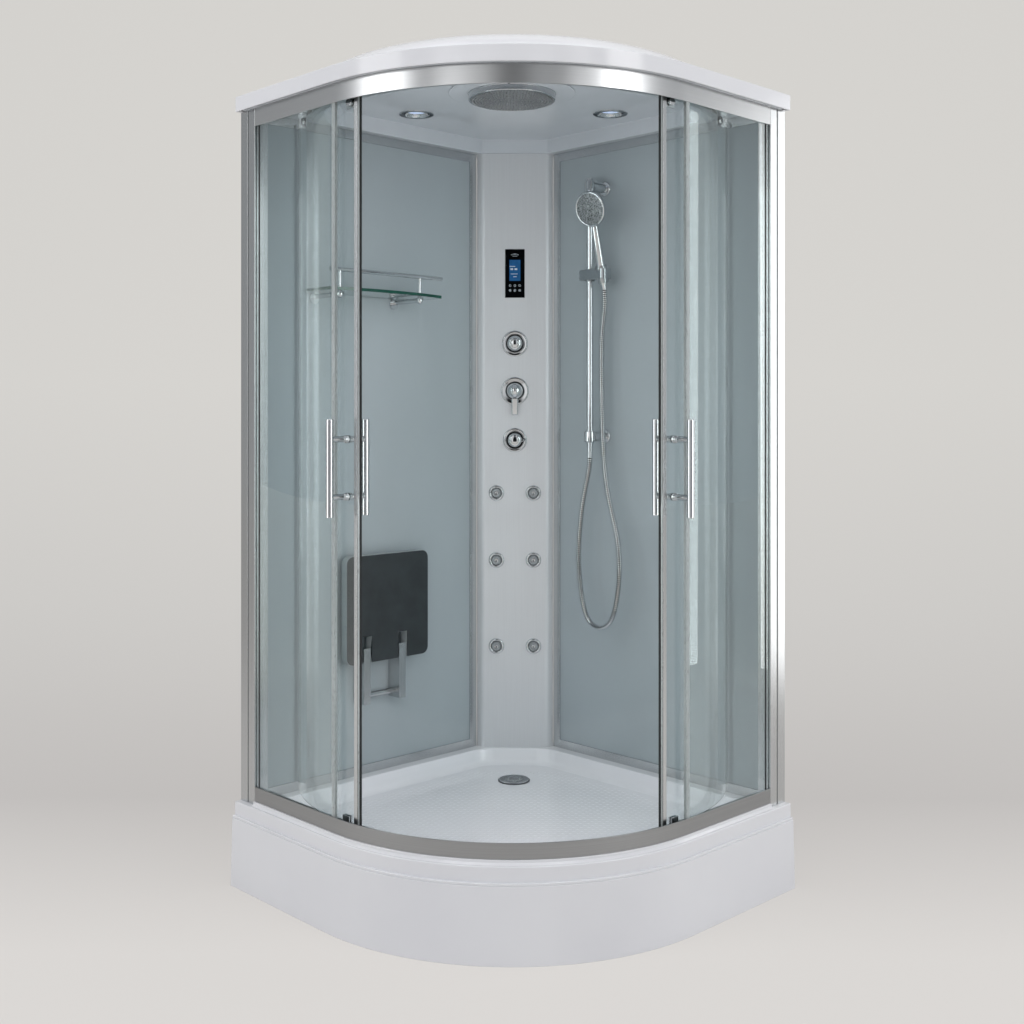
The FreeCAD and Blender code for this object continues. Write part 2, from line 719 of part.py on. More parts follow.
cut(column, holes, front_in - 4, column_front + 4, "XZ")
node("column", column)


def on_column(x, z, out=0):
    # x to the right, y up and z out of the column's front
    return middle * at(x, -float(column_front) - float(out), z) * Placement(Vector(), Rotation(Vector(1, 0, 0), 90))


# Control panel: a touch plate, and its box behind the column
panel_thick = size("panel_thick", 4)
panel_tall = panel_high - panel_low
panel = make("control_panel", on_column(0, panel_low))
add(panel, [box(-panel_half, panel_half, 0, panel_tall)], 0, panel_thick)
boss = panel_half - panel_boss
add(panel, [box(-boss, boss, panel_boss + gap, panel_tall - panel_boss - gap)], -sheet_metal - gap, 0)
node("control_panel", panel)
box_depth = size("box_depth", 40)
electronics = make("control_box", on_column(0, panel_low))
add(electronics, [box(-panel_half - 10, panel_half + 10, -10, panel_tall + 10)], -sheet_metal - gap * 2 - box_depth, -sheet_metal - gap * 2)
node("control_box", electronics)

# Round plates behind the two knobs and the mixer
plate_thick = size("plate_thick", 4)
plates = []
for level, radius in (
    (diverter_level, size("diverter_plate", 38)), (mixer_level, size("mixer_plate", 41)), (flow_level, size("flow_plate", 35)),
):
    plate = make("knob_plate", on_column(0, level))
    turned(plate, [(stem_hole, 0), (radius, 0), (radius, 1.5), (radius - 3, plate_thick), (stem_hole, plate_thick)])
    plates.append(plate)
node("knob_plates", *plates)

# Knobs on stems that run in the valves
stem = size("stem", 6)
stem_reach = size("stem_reach", 16)
knob_rise = plate_thick + gap
for label, level, radius, rise in (
    ("diverter_knob", diverter_level, size("diverter_radius", 22), size("diverter_rise", 30)),
    ("flow_knob", flow_level, size("flow_radius", 20), size("flow_rise", 28)),
):
    knob = make(label, on_column(0, level))
    turned(knob, [
        (0, -stem_reach), (stem, -stem_reach), (stem, knob_rise), (radius, knob_rise), (radius, knob_rise + rise - 6),
        (radius - 6, knob_rise + rise, 6, 1), (0, knob_rise + rise),
    ])
    node(label, knob)
flow_ear = size("flow_ear", 27)
add(knob, [[(4, -7), (flow_ear, -3), (flow_ear, 3), (4, 7)]], knob_rise + 3, knob_rise + 20)

# Mixer: a hub that turns, carrying a ball, and a lever cap that tips on the ball
ball = size("ball", 18)
ball_level = size("ball_level", 20)
hub_radius = size("hub_radius", 22)
hub_neck = size("hub_neck", 12)
cap_wall = size("cap_wall", 5.7)
cap_rim = size("cap_rim", 6)
neck_top = ball_level - math.sqrt(float(ball) ** 2 - float(hub_neck) ** 2)
hub = make("mixer_hub", on_column(0, mixer_level))
turned(hub, [
    (0, -stem_reach), (stem, -stem_reach), (stem, knob_rise), (hub_radius, knob_rise), (hub_radius, knob_rise + 1.5),
    (hub_neck, knob_rise + 1.5), (hub_neck, neck_top), (ball, ball_level, ball, 1), (0, ball_level + ball, ball, 1),
])
node("mixer_hub", hub)
cap_in = ball + gap
cap_out = cap_in + cap_wall
rim_in = math.sqrt(float(cap_in) ** 2 - float(cap_rim) ** 2)
rim_out = math.sqrt(float(cap_out) ** 2 - float(cap_rim) ** 2)
lever_wide = size("lever_wide", 9)
lever_long = size("lever_long", 70)
lever = make("mixer_lever", on_column(0, mixer_level))
turned(lever, [
    (rim_in, ball_level - cap_rim), (rim_out, ball_level - cap_rim), (cap_out, ball_level, cap_out, 1),
    (0, ball_level + cap_out, cap_out, 1), (0, ball_level + cap_in), (cap_in, ball_level, cap_in, -1),
])
add(lever, [box(-lever_wide, lever_wide, -lever_long, -cap_in - 2)], ball_level - 3, ball_level + 10)
node("mixer_lever", lever)

# Valve block and pipes behind the column: knob stems run in its bores, and the supplies come in from the back
valve_half = size("valve_half", 34)
valve_deep = size("valve_deep", 60)
inlet_offset = size("inlet_offset", 20)
inlet_rise = size("inlet_rise", 20)
inlet_radius = size("inlet_radius", 10.3)
inlet_long = size("inlet_long", 18)
pipe_radius = size("pipe_radius", 7)
valve_front = front_in - gap
valve_back = valve_front - valve_deep
valve_low = flow_level - 35
valves = make("water_valves", middle)
add(valves, [box(-valve_half, valve_half, -valve_front, -valve_back)], valve_low, diverter_level + 35)
cut(valves, [circle(0, level, stem + pin_fit) for level in (diverter_level, mixer_level, flow_level)], valve_front - stem_reach, valve_front + 1, "XZ")
pipe_y = -(valve_front + valve_back) / 2
add(valves, [circle(way * inlet_offset, valve_low + inlet_rise, inlet_radius) for way in (-1, 1)], valve_back - inlet_long, valve_back, "XZ")
add(valves, [box(-jet_offset - pipe_radius, jet_offset + pipe_radius, pipe_y - pipe_radius, pipe_y + pipe_radius)], valve_low, valve_low + pipe_radius * 2)
add(valves, [circle(way * jet_offset, pipe_y, pipe_radius) for way in (-1, 1)], jet_levels[2] - 12, valve_low)
node("water_valves", valves)

# Body jets: six housings through the column, each with a ball nozzle that tips in its bore
nozzle = size("nozzle", 14)
jet_flange = size("jet_flange", 23)
jet_rise = size("jet_rise", 5)
housings = []
tips = []
for level_name, level in zip(("high", "middle", "low"), jet_levels):
    for side_name, way in (("left", -1), ("right", 1)):
        spot = on_column(way * float(jet_offset), level)
        housing = make("jet_housing", spot)
        bore = nozzle + gap
        tail_end = -(column_front + pipe_y - pipe_radius) + gap
        turned(housing, [
            (0, tail_end), (pipe_radius, tail_end), (pipe_radius, -nozzle - 4), (jet_hole - gap, -nozzle - 4),
            (jet_hole - gap, 0), (jet_flange, 0), (jet_flange, 2), (jet_flange - 3, jet_rise), (bore, jet_rise),
            (bore, -nozzle - 1), (0, -nozzle - 1),
        ])
        housings.append(housing)
        tip = make(f"jet_nozzle_{level_name}_{side_name}", spot)
        low_cut = float(nozzle) * 0.7
        top_cut = float(nozzle) * 0.5
        low_r = math.sqrt(float(nozzle) ** 2 - low_cut ** 2)
        top_r = math.sqrt(float(nozzle) ** 2 - top_cut ** 2)
        turned(tip, [
            (0, -low_cut), (low_r, -low_cut), (nozzle, 0, nozzle, 1), (top_r, top_cut, nozzle, 1),
            (5, top_cut), (5, top_cut + 2), (2, top_cut + 2), (2, top_cut - 4), (0, top_cut - 4),
        ])
        tips.append(tip)
node("jet_housings", *housings)
for tip in tips:
    node(tip.Label, tip)

# Steam boiler standing on the tray's ledge behind the column
boiler_radius = size("boiler_radius", 44)
boiler_back = size("boiler_back", 115)
boiler_tall = size("boiler_tall", 240)
boiler = make("steam_boiler", middle * at(0, -float(boiler_back), 0))
turned(boiler, [
    (0, rim_top), (boiler_radius, rim_top), (boiler_radius, rim_top + boiler_tall), (8, rim_top + boiler_tall),
    (8, rim_top + boiler_tall + 20), (0, rim_top + boiler_tall + 20),
])
node("steam_boiler", boiler)

# Ceiling panel: a flange on the rails and wall frames, coved up to a raised flat
panel_sheet = size("panel_sheet", 3)
roof_middle = size("roof_middle", 600)
ceiling_radius = size("ceiling_radius", 480)
cove = size("cove", 30)
ceiling_rise = size("ceiling_rise", 41)
ceiling_back = size("ceiling_back", 60)
flange_inset = size("flange_inset", 22)
rain_back = size("rain_back", 717)
light_offset = size("light_offset", 259)
light_back = size("light_back", 496)
light_hole = size("light_hole", 33)
ceiling_low = wall_top + gap
ceiling_flat = wall_top + ceiling_rise
roof_centre = middle * at(0, -float(roof_middle), 0)


def clipped(name, turned_body, plan, low, high):
    # The part of a turned body that stands over an outline
    prism = make(f"{name}_prism", corner)
    add(prism, [plan], low, high)
    whole = doc.addObject("Part::Common", f"{name}_clipped")
    whole.Base = turned_body
    whole.Tool = prism
    return whole


def dish(name, grow, low, high):
    body = make(name, roof_centre)
    turned(body, [(0, low), (ceiling_radius + grow, low), (ceiling_radius - cove + grow, high), (0, high)])
    plan = room(ceiling_back, column_front - 2, plate_inner, grow)
    return clipped(name, body, plan, low, high)


flange_plate = make("ceiling_flange", corner)
add(flange_plate, [quadrant(flange_inset, flange_inset)], ceiling_low, ceiling_low + panel_sheet)
dish_out = dish("dish_out", panel_sheet, ceiling_low, ceiling_flat + panel_sheet)
dish_in = dish("dish_in", as_size(0), ceiling_low - 1, ceiling_flat)
light_spots = [middle * at(way * float(light_offset), -float(light_back), ceiling_flat) for way in (-1, 1)]
light_drills = [rod("light_drill", light_hole, 30, spot * at(0, 0, -10)) for spot in light_spots]
ceiling = joined("ceiling_whole", [flange_plate, dish_out])
node("ceiling_panel", bored("ceiling_panel", ceiling, joined("ceiling_cuts", [dish_in] + light_drills)))

# Rain head under the ceiling and the two downlights through it
rain_disc = size("rain_disc", 158)
rain_radius = size("rain_radius", 108.5)
rain_drop = size("rain_drop", 20)
rain = make("rain_head", middle * at(0, -float(rain_back), 0))
rain_low = ceiling_flat - rain_drop
turned(rain, [
    (0, rain_low), (rain_radius, rain_low), (rain_radius, ceiling_flat - 4), (rain_disc - 3, ceiling_flat - 4),
    (rain_disc, ceiling_flat), (0, ceiling_flat),
])
node("rain_head", rain)
light_ring = size("light_ring", 46)
lights = []
for spot in light_spots:
    light = make("downlight", spot)
    turned(light, [(0, -2), (light_ring - 8, -3), (light_ring, -1), (light_ring, 0), (light_hole - gap, 0), (light_hole - gap, 22), (0, 22)])
    lights.append(light)
node("downlights", *lights)

# Roof cover: a shell that stands on the wall frames, with a low dome over the ceiling.
# The dome stays nearly level and falls off steeply, with the eighth power of the distance from its middle.
roof_inset = size("roof_inset", 14)
roof_height = size("roof_height", 38)
roof_shell = size("roof_shell", 3)
dome_radius = size("dome_radius", 540)
dome_height = size("dome_height", 65)
dome_power = size("dome_power", 8)
roof_top = wall_top + roof_height
dome_slope = size("dome_slope", 6)
skirt = make("roof_skirt", corner)
add(skirt, [quadrant(roof_inset, 0)], wall_top, roof_top)
cut(skirt, [quadrant(roof_inset + roof_shell, roof_inset)], wall_top, roof_top - roof_shell)


def dome_body(name, radius, rise, low):
    # The outline is turned about the dome's middle: its curve on top, and an upright edge down to the low level
    steps = [0, 0.15, 0.3, 0.45, 0.6, 0.7, 0.78, 0.85, 0.91, 0.96, 1]
    top = float(roof_top)
    points = [Vector(radius * part, 0, top + rise * (1 - part ** float(dome_power))) for part in steps]
    curve = Part.BSplineCurve()
    curve.interpolate(points)
    corners = [points[-1], Vector(radius, 0, low), Vector(0, 0, low), points[0]]
    edges = [curve.toShape()] + [Part.makeLine(a, b) for a, b in zip(corners, corners[1:])]
    thing = doc.addObject("Part::Feature", name)
    thing.Shape = Part.Face(Part.Wire(edges)).revolve(Vector(), Vector(0, 0, 1), 360)
    thing.Placement = roof_centre
    return thing


dome_tall = roof_top + dome_height + 10
dome = dome_body("dome", float(dome_radius), float(dome_height), float(roof_top - roof_shell))
dome_room = dome_body("dome_room", float(dome_radius - dome_slope), float(dome_height - roof_shell), float(wall_top))
dome = clipped("dome", dome, quadrant(roof_inset, 0), roof_top - roof_shell, dome_tall)
dome_room = clipped("dome_room", dome_room, quadrant(roof_inset + roof_shell, roof_inset), wall_top, dome_tall)
node("roof_cover", bored("roof_cover", joined("roof_whole", [skirt, dome]), dome_room))

# Riser on the right wall: a rail on two wall brackets, with the hose outlet under the lower one
riser_along = size("riser_along", 399)
riser_out = size("riser_out", 100)
riser_rod = size("riser_rod", 9)
riser_low = size("riser_low", 1111)
riser_long = size("riser_long", 729)
bracket_rod = size("bracket_rod", 12)
rosette = size("rosette", 20)
riser_end = size("riser_end", 23)
riser_foot = size("riser_foot", 10)
riser_upper = riser_low + riser_long - riser_end
riser_lower = riser_low + riser_foot
outlet_half = size("outlet_half", 16)
outlet_drop = size("outlet_drop", 43)
outlet_low = riser_lower - outlet_drop
outlet_radius = size("outlet_radius", 8)
pane_face = lip_back - gap
wall_seat = pane_face + gap
riser_parts = [rod("riser_tube", riser_rod, riser_long, right_wall * at(riser_along, riser_low, riser_out, Vector(1, 0, 0), -90))]
for level in (riser_upper, riser_lower):
    riser_parts.append(rod("bracket_arm", bracket_rod, riser_out - wall_seat, right_wall * at(riser_along, level, wall_seat)))
    riser_parts.append(rod("bracket_rosette", rosette, 6, right_wall * at(riser_along, level, wall_seat)))
riser_parts.append(rod("outlet_body", outlet_half, 30, right_wall * at(riser_along, float(riser_lower) - 15, riser_out, Vector(1, 0, 0), -90)))
riser_parts.append(rod("outlet_nipple", outlet_radius, 40, right_wall * at(riser_along, outlet_low, riser_out, Vector(1, 0, 0), -90)))
node("riser_rail", joined("riser_rail", riser_parts))

# Slider on the rail, with a tapered holder at its end for the hand shower
slider_low = size("slider_low", 1555)
slider_tall = size("slider_tall", 28)
slider_from = size("slider_from", 372)
slider_to = size("slider_to", 470)
slider_half = size("slider_half", 16)
holder_along = size("holder_along", 449)
holder_out = size("holder_out", 106)
handle_rod = size("handle_rod", 12)
slider_high = slider_low + slider_tall
holder_level = slider_low + slider_tall / 2
slider_block = block("slider_block", slider_from, slider_to, slider_low, slider_high, riser_out - slider_half, riser_out + slider_half + 8, right_wall)
slider_bore = rod("slider_bore", riser_rod + pin_fit, slider_tall * 2, right_wall * at(riser_along, float(slider_low) - 5, riser_out, Vector(1, 0, 0), -90))
handle_way = Vector(6, 143, 40)
handle_way.normalize()
handle_turn = Rotation(Vector(0, 0, 1), handle_way)
holder = right_wall * Placement(Vector(float(holder_along), float(holder_level), float(holder_out)), handle_turn)
holder_bore = rod("holder_bore", handle_rod + gap, 120, holder * at(0, 0, -60))
node("rail_slider", bored("rail_slider", slider_block, joined("slider_bores", [slider_bore, holder_bore])))

# Hand shower: a tapered handle in the holder and a round head
nut_radius = size("nut_radius", 10)
nut_long = size("nut_long", 16)
handle_long = size("handle_long", 165)
head_radius = size("head_radius", 55)
head_reach = size("head_reach", 180)
foot_end = size("foot_end", 30)
grip = make("shower_grip", holder)
turned(grip, [
    (0, -foot_end), (nut_radius, -foot_end), (nut_radius, nut_long - foot_end), (handle_rod, 12 - foot_end / 2),
    (handle_rod, handle_long), (0, handle_long),
])
head_way = Vector(0.329, -0.276, 0.903)
head_turn = Rotation(Vector(0, 0, 1), head_way)
head_centre = Vector(float(holder_along), float(holder_level), float(holder_out)) + handle_way * float(head_reach)
head = make("shower_head", right_wall * Placement(head_centre, head_turn))
turned(head, [
    (0, -18), (head_radius * 0.55, -17), (head_radius - 3, -7), (head_radius, 0), (head_radius, 5), (head_radius - 2, 8), (0, 8),
])
node("hand_shower", joined("hand_shower", [grip, head]))

# Shower hose: hangs free from the hand shower, loops low and comes back up to the outlet.
# Its route is straight runs joined by tangent arcs, in the right wall's frame: along, up, out.
hose_radius = size("hose_radius", 7)
hose_bore = size("hose_bore", 5)
hose_ribs = size("hose_ribs", 150)
rib_depth = size("rib_depth", 1)
hose_start = Vector(float(holder_along), float(holder_level), float(holder_out)) - handle_way * float(foot_end)
hose_end = Vector(float(riser_along), float(outlet_low), float(riser_out))
hose_route = [
    hose_start, hose_start - handle_way * 45, Vector(432, 1410, 88), Vector(432, 1300, 89), Vector(436, 1180, 91),
    Vector(442, 1080, 93), Vector(456, 985, 96), Vector(478, 915, 99), Vector(500, 855, 102), Vector(512, 785, 104),
    Vector(509, 705, 105), Vector(491, 627, 106), Vector(459, 595, 106), Vector(415, 595, 106), Vector(383, 627, 105),
    Vector(365, 705, 104), Vector(358, 785, 103), Vector(362, 865, 102), Vector(371, 930, 101), Vector(385, 990, 100),
    Vector(399, 1040, 100), hose_end,
]


def hose_path(route):
    # Straight pieces and arcs, each a start, an end, and for arcs a middle point
    pieces = []
    radii = []
    last = route[0]
    for before, here, after in zip(route, route[1:], route[2:]):
        into = here - before
        out = after - here
        short = min(into.Length, out.Length)
        into.normalize()
        out.normalize()
        turn = math.acos(max(-1, min(1, into.dot(out))))
        set_back = 0.45 * short
        radius = set_back / math.tan(turn / 2)
        radii.append(radius)
        start = here - into * set_back
        end = here + out * set_back
        centre_way = (out - into)
        centre_way.normalize()
        centre = here + centre_way * (radius / math.cos(turn / 2))
        to_middle = here - centre
        to_middle.normalize()
        pieces.append((last, start, None))
        pieces.append((start, end, centre + to_middle * radius))
        last = end
    pieces.append((last, route[-1], None))
    return pieces, radii


hose_pieces, hose_radii = hose_path(hose_route)
hose_edges = []
for start, end, middle_point in hose_pieces:
    hose_edges.append(Part.LineSegment(start, end) if middle_point is None else Part.Arc(start, middle_point, end))
hose_lengths = [edge.length() for edge in hose_edges]
hose_length = sum(hose_lengths)
print("hose radii", [round(r) for r in hose_radii], "length", round(hose_length, 1))


def hose_frame(distance):
    # The point, direction and steady x axis at a distance along the hose
    for edge, length in zip(hose_edges, hose_lengths):
        if distance <= length or edge is hose_edges[-1]:
            break
        distance -= length
    distance = min(max(distance, 0), length)
    where = edge.parameterAtDistance(distance, edge.FirstParameter)
    way = edge.tangent(where)[0]
    side_way = Vector(0, 0, 1) - way * way.z
    side_way.normalize()
    return Placement(edge.value(where), Rotation(side_way, way.cross(side_way), way, "ZXY"))


def hose_ring(distance, radius):
    ring = Part.makeCircle(radius)
    ring.Placement = hose_frame(distance)
    return Part.Wire([ring])


def hose_shell(stations):
    return Part.makeLoft([hose_ring(distance, radius) for distance, radius in stations], False, True)


rib_top = float(hose_radius)
valley = rib_top - float(rib_depth)
end_run = 2 * rib_top
rib_pitch = (hose_length - 2 * end_run) / float(hose_ribs)
stations = [(0, valley)]
for i in range(int(float(hose_ribs))):
    foot_at = end_run + i * rib_pitch
    stations += [(foot_at + rib_pitch * share, rib_top if high else valley) for share, high in ((0.1, 0), (0.3, 1), (0.7, 1), (0.9, 0))]
stations.append((hose_length, valley))
bore_steps = [hose_length * i / 90 for i in range(91)]
outer_skin = hose_shell(stations)
inner_skin = hose_shell([(distance, float(hose_bore)) for distance in bore_steps])
caps = []
for distance in (0, hose_length):
    caps.append(Part.Face([hose_ring(distance, valley), hose_ring(distance, float(hose_bore))]))
hose_skin = Part.makeShell(outer_skin.Faces + inner_skin.Faces + caps)
hose_skin.sewShape()
hose_fix = Part.makeSolid(Part.Shell(hose_skin.Faces))
hose_fix.fix(0.001, 0.001, 0.001)
hose_solid = hose_fix.Solids[0]
hose = doc.addObject("Part::Feature", "shower_hose")
hose.Shape = hose_solid
hose.Placement = right_wall
node("shower_hose", hose)
mean_section = math.pi * ((rib_top - float(rib_depth) * 0.4) ** 2 - float(hose_bore) ** 2)
print("hose volume", round(hose_solid.Volume), "section by length", round(mean_section * hose_length))

# Glass shelf on the left wall, on two arms with a gallery rail above its front edge
shelf_level = size("shelf_level", 1500)
shelf_glass = size("shelf_glass", 8)
shelf_from = size("shelf_from", 430)
shelf_to = size("shelf_to", 800)
shelf_side = size("shelf_side", 150)
shelf_bow = size("shelf_bow", 24)
post_first = size("post_first", 508)
post_last = size("post_last", 772)
post_out_at = size("post_out_at", 150)
gallery_level = size("gallery_level", 1553)
gallery_rod = size("gallery_rod", 5)
arm_rod = size("arm_rod", 6)
arm_ball = size("arm_ball", 10)
post_rod = size("post_rod", 4)
shelf_half = (shelf_to - shelf_from) / 2
bow_radius = (shelf_half * shelf_half + shelf_bow * shelf_bow) / (shelf_bow * 2)
shelf = make("shelf_glass", corner)
add(shelf, [[
    (shelf_from, wall_face + gap), (shelf_to, wall_face + gap), (shelf_to, shelf_side), (shelf_from, shelf_side, bow_radius, 1),
]], shelf_level, shelf_level + shelf_glass)
cut(shelf, [circle(spot, post_out_at, post_rod + gap) for spot in (post_first, post_last)], shelf_level, shelf_level + shelf_glass)
node("shelf_glass", shelf)
arm_level = shelf_level - arm_ball - gap
gallery = [rod("gallery_bar", gallery_rod, shelf_to - shelf_from, corner * Placement(Vector(float(shelf_from), float(post_out_at), float(gallery_level)), along_x))]
for spot in (post_first, post_last):
    gallery.append(rod("shelf_post", post_rod, gallery_level - arm_level, corner * at(spot, post_out_at, arm_level)))
    gallery.append(rod("shelf_arm", arm_rod, post_out_at - wall_seat, corner * Placement(Vector(float(spot), float(wall_seat), float(arm_level)), along_y)))
    gallery.append(rod("shelf_rosette", arm_ball + 4, 5, corner * Placement(Vector(float(spot), float(wall_seat), float(arm_level - 4)), along_y)))
    arm_end = doc.addObject("Part::Sphere", "arm_end")
    arm_end.Radius = float(arm_ball)
    bind(arm_end, "Radius", arm_ball)
    arm_end.Placement = corner * at(spot, post_out_at, arm_level)
    gallery.append(arm_end)
node("shelf_gallery", joined("shelf_gallery", gallery))

# Folding seat on the left wall, folded up: a bracket with two arms, and the board on its pin
seat_from = size("seat_from", 424)
seat_to = size("seat_to", 702)
seat_low = size("seat_low", 520)
seat_high = size("seat_high", 806)
seat_back = size("seat_back", 60)
seat_thick = size("seat_thick", 25)
seat_round = size("seat_round", 20)
slot_top = size("slot_top", 590)
slot_half = size("slot_half", 15)
arm_half = size("arm_half", 11)
arm_spots = (size("arm_first", 514), size("arm_last", 634))
arm_low = size("arm_low", 409)
pin_level = size("pin_level", 548)
seat_pin = size("seat_pin", 5)
pin_depth = seat_back + seat_thick / 2
board = make("seat_board_body", left_wall)
right_edge = -seat_from
left_edge = -seat_to
slot_one, slot_two = arm_spots
add(board, [[
    (-slot_two - slot_half, seat_low), (-slot_two - slot_half, slot_top),
    (-slot_two + slot_half, slot_top), (-slot_two + slot_half, seat_low), (-slot_one - slot_half, seat_low),
    (-slot_one - slot_half, slot_top), (-slot_one + slot_half, slot_top), (-slot_one + slot_half, seat_low),
    (right_edge - seat_round, seat_low), (right_edge, seat_low + seat_round, seat_round, 1),
    (right_edge, seat_high - seat_round), (right_edge - seat_round, seat_high, seat_round, 1),
    (left_edge + seat_round, seat_high), (left_edge, seat_high - seat_round, seat_round, 1),
    (left_edge, seat_low + seat_round), (left_edge + seat_round, seat_low, seat_round, 1),
]], seat_back, seat_back + seat_thick)
pin_from = slot_one - slot_half - 12
pin_long = slot_two - slot_one + slot_half * 2 + 24


def seat_rod(name, radius, start, length, level, depth):
    return rod(name, radius, length, left_wall * Placement(Vector(-float(start), float(level), float(depth)), Rotation(Vector(0, 1, 0), -90)))


node("seat_board", bored("seat_board", board, seat_rod("pin_bore", seat_pin + pin_fit, pin_from - 1, pin_long + 2, pin_level, pin_depth)))
bracket = [seat_rod("seat_pin_rod", seat_pin, pin_from, pin_long, pin_level, pin_depth)]
bracket.append(seat_rod("cross_bar", 8, slot_one, slot_two - slot_one, arm_low + 16, wall_seat + 14))
arm_front = seat_back + seat_thick - 1
for spot in arm_spots:
    bracket.append(block("arm_foot", -spot - arm_half, -spot + arm_half, arm_low, seat_low - 6, wall_seat, arm_front, left_wall))
    bracket.append(block("arm_top", -spot - arm_half, -spot + arm_half, seat_low - 8, pin_level + 10, seat_back + 1, arm_front, left_wall))
node("seat_bracket", joined("seat_bracket", bracket))

# Check every object and every cut, then write the nodes
doc.recompute()
faults = []
for thing in doc.Objects:
    if "Invalid" in thing.State or "Error" in thing.State:
        faults.append(f"{thing.Label}: {thing.State}")
for pocket in cuts:
    if pocket.Shape.Volume > pocket.BaseFeature.Shape.Volume - 1e-3:
        faults.append(f"{pocket.Label} cuts nothing")
for label, thing in nodes.items():
    if thing.Shape.isNull() or not thing.Shape.isValid() or not thing.Shape.Solids:
        faults.append(f"{label} has no valid solid")
if faults:
    raise RuntimeError("; ".join(faults))
for label, thing in nodes.items():
    thing.Shape.exportStep(f"parts/{label}.step")
    print(label, len(thing.Shape.Solids), round(thing.Shape.Volume / 1000, 1))
print("nodes", len(nodes))
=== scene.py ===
import bpy
import bmesh
import json
import math
from mathutils import Matrix, Vector

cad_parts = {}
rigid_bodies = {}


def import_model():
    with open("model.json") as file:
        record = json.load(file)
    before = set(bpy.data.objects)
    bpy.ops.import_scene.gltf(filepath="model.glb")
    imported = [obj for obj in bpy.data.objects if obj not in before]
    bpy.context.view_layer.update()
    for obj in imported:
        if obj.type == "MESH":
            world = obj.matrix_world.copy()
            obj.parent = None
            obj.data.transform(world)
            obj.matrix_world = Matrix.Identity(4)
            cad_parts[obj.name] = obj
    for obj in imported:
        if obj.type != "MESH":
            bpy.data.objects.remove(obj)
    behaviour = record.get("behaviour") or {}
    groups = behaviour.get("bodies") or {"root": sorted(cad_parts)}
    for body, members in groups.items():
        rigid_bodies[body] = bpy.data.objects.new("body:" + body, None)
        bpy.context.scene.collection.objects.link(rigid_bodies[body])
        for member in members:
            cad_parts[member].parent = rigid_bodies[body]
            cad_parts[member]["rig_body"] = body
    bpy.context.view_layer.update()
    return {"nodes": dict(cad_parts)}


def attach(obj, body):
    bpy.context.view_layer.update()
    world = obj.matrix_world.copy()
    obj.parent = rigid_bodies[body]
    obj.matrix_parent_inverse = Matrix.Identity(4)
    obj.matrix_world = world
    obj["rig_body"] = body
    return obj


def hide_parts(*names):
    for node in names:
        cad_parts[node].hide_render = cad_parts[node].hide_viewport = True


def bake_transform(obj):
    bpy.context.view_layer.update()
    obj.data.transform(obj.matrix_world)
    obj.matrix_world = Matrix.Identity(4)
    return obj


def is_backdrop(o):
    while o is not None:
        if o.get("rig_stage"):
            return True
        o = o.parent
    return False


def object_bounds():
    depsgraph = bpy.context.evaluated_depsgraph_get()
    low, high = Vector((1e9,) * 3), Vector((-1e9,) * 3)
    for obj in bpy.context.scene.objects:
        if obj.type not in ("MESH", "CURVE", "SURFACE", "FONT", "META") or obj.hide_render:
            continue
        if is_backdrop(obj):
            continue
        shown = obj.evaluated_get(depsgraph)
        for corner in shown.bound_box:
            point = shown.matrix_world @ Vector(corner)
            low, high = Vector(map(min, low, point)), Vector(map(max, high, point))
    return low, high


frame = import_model()
nodes = frame["nodes"]
scene = bpy.context.scene
mm = 0.001
root2 = math.sqrt(2)
print("frame loaded")

# Plan of the cabin, in millimetres: the corner frame runs X along the left wall and Y along the right wall
plan = {"side": 1000, "cornerRadius": 600, "wallTop": 1944, "rimTop": 210, "railStart": 66.3, "arcSteps": 64}
straight = plan["side"] - plan["cornerRadius"]
backY = (plan["cornerRadius"] + straight * root2) / 2
arcY = backY - straight * root2
half = 1 / root2
cornerFrame = Matrix(((-half, half, 0, 0), (-half, -half, 0, backY * mm), (0, 0, 1, 0), (0, 0, 0, 1)))
rightWall = Matrix(((half, 0, -half, 0), (-half, 0, -half, backY * mm), (0, 1, 0, 0), (0, 0, 0, 1)))  # along, up, out
leftWall = Matrix(((-half, 0, half, 0), (-half, 0, -half, backY * mm), (0, 1, 0, 0), (0, 0, 0, 1)))
arcFrame = Matrix.Translation((0, arcY * mm, 0))
columnFace = backY - 182


def onColumn(x, z, out=0):
    # x to the right, y up and z out of the column's front
    return Matrix.Translation((x * mm, (columnFace - out) * mm, z * mm)) @ Matrix.Rotation(math.radians(90), 4, "X")


def downFrom(x, y, z):
    # z points down from a spot on the ceiling
    return Matrix.Translation((x * mm, y * mm, z * mm)) @ Matrix.Rotation(math.radians(180), 4, "X")


def radial(angle, radius=0, z=0):
    turn = Matrix.Rotation(math.radians(angle), 4, "Z")
    return arcFrame @ turn @ Matrix.Translation((radius * mm, 0, z * mm))


# Materials

def linear(hexColour):
    parts = [int(hexColour[i:i + 2], 16) / 255 for i in (1, 3, 5)]
    return tuple(c / 12.92 if c <= 0.04045 else ((c + 0.055) / 1.055) ** 2.4 for c in parts) + (1,)


def addNode(tree, kind, links=None, values=None, **settings):
    node = tree.nodes.new(kind)
    for name, value in settings.items():
        setattr(node, name, value)
    for name, value in (values or {}).items():
        node.inputs[name].default_value = value
    for name, source in (links or {}).items():
        tree.links.new(source, node.inputs[name])
    return node


def startMaterial(name, colour, roughness, metallic=0.0, **more):
    material = bpy.data.materials.new(name)
    material.use_nodes = True
    tree = material.node_tree
    shader = tree.nodes["Principled BSDF"]
    shader.inputs["Base Color"].default_value = linear(colour)
    shader.inputs["Roughness"].default_value = roughness
    shader.inputs["Metallic"].default_value = metallic
    for key, value in more.items():
        shader.inputs[key].default_value = value
    return material, tree, shader


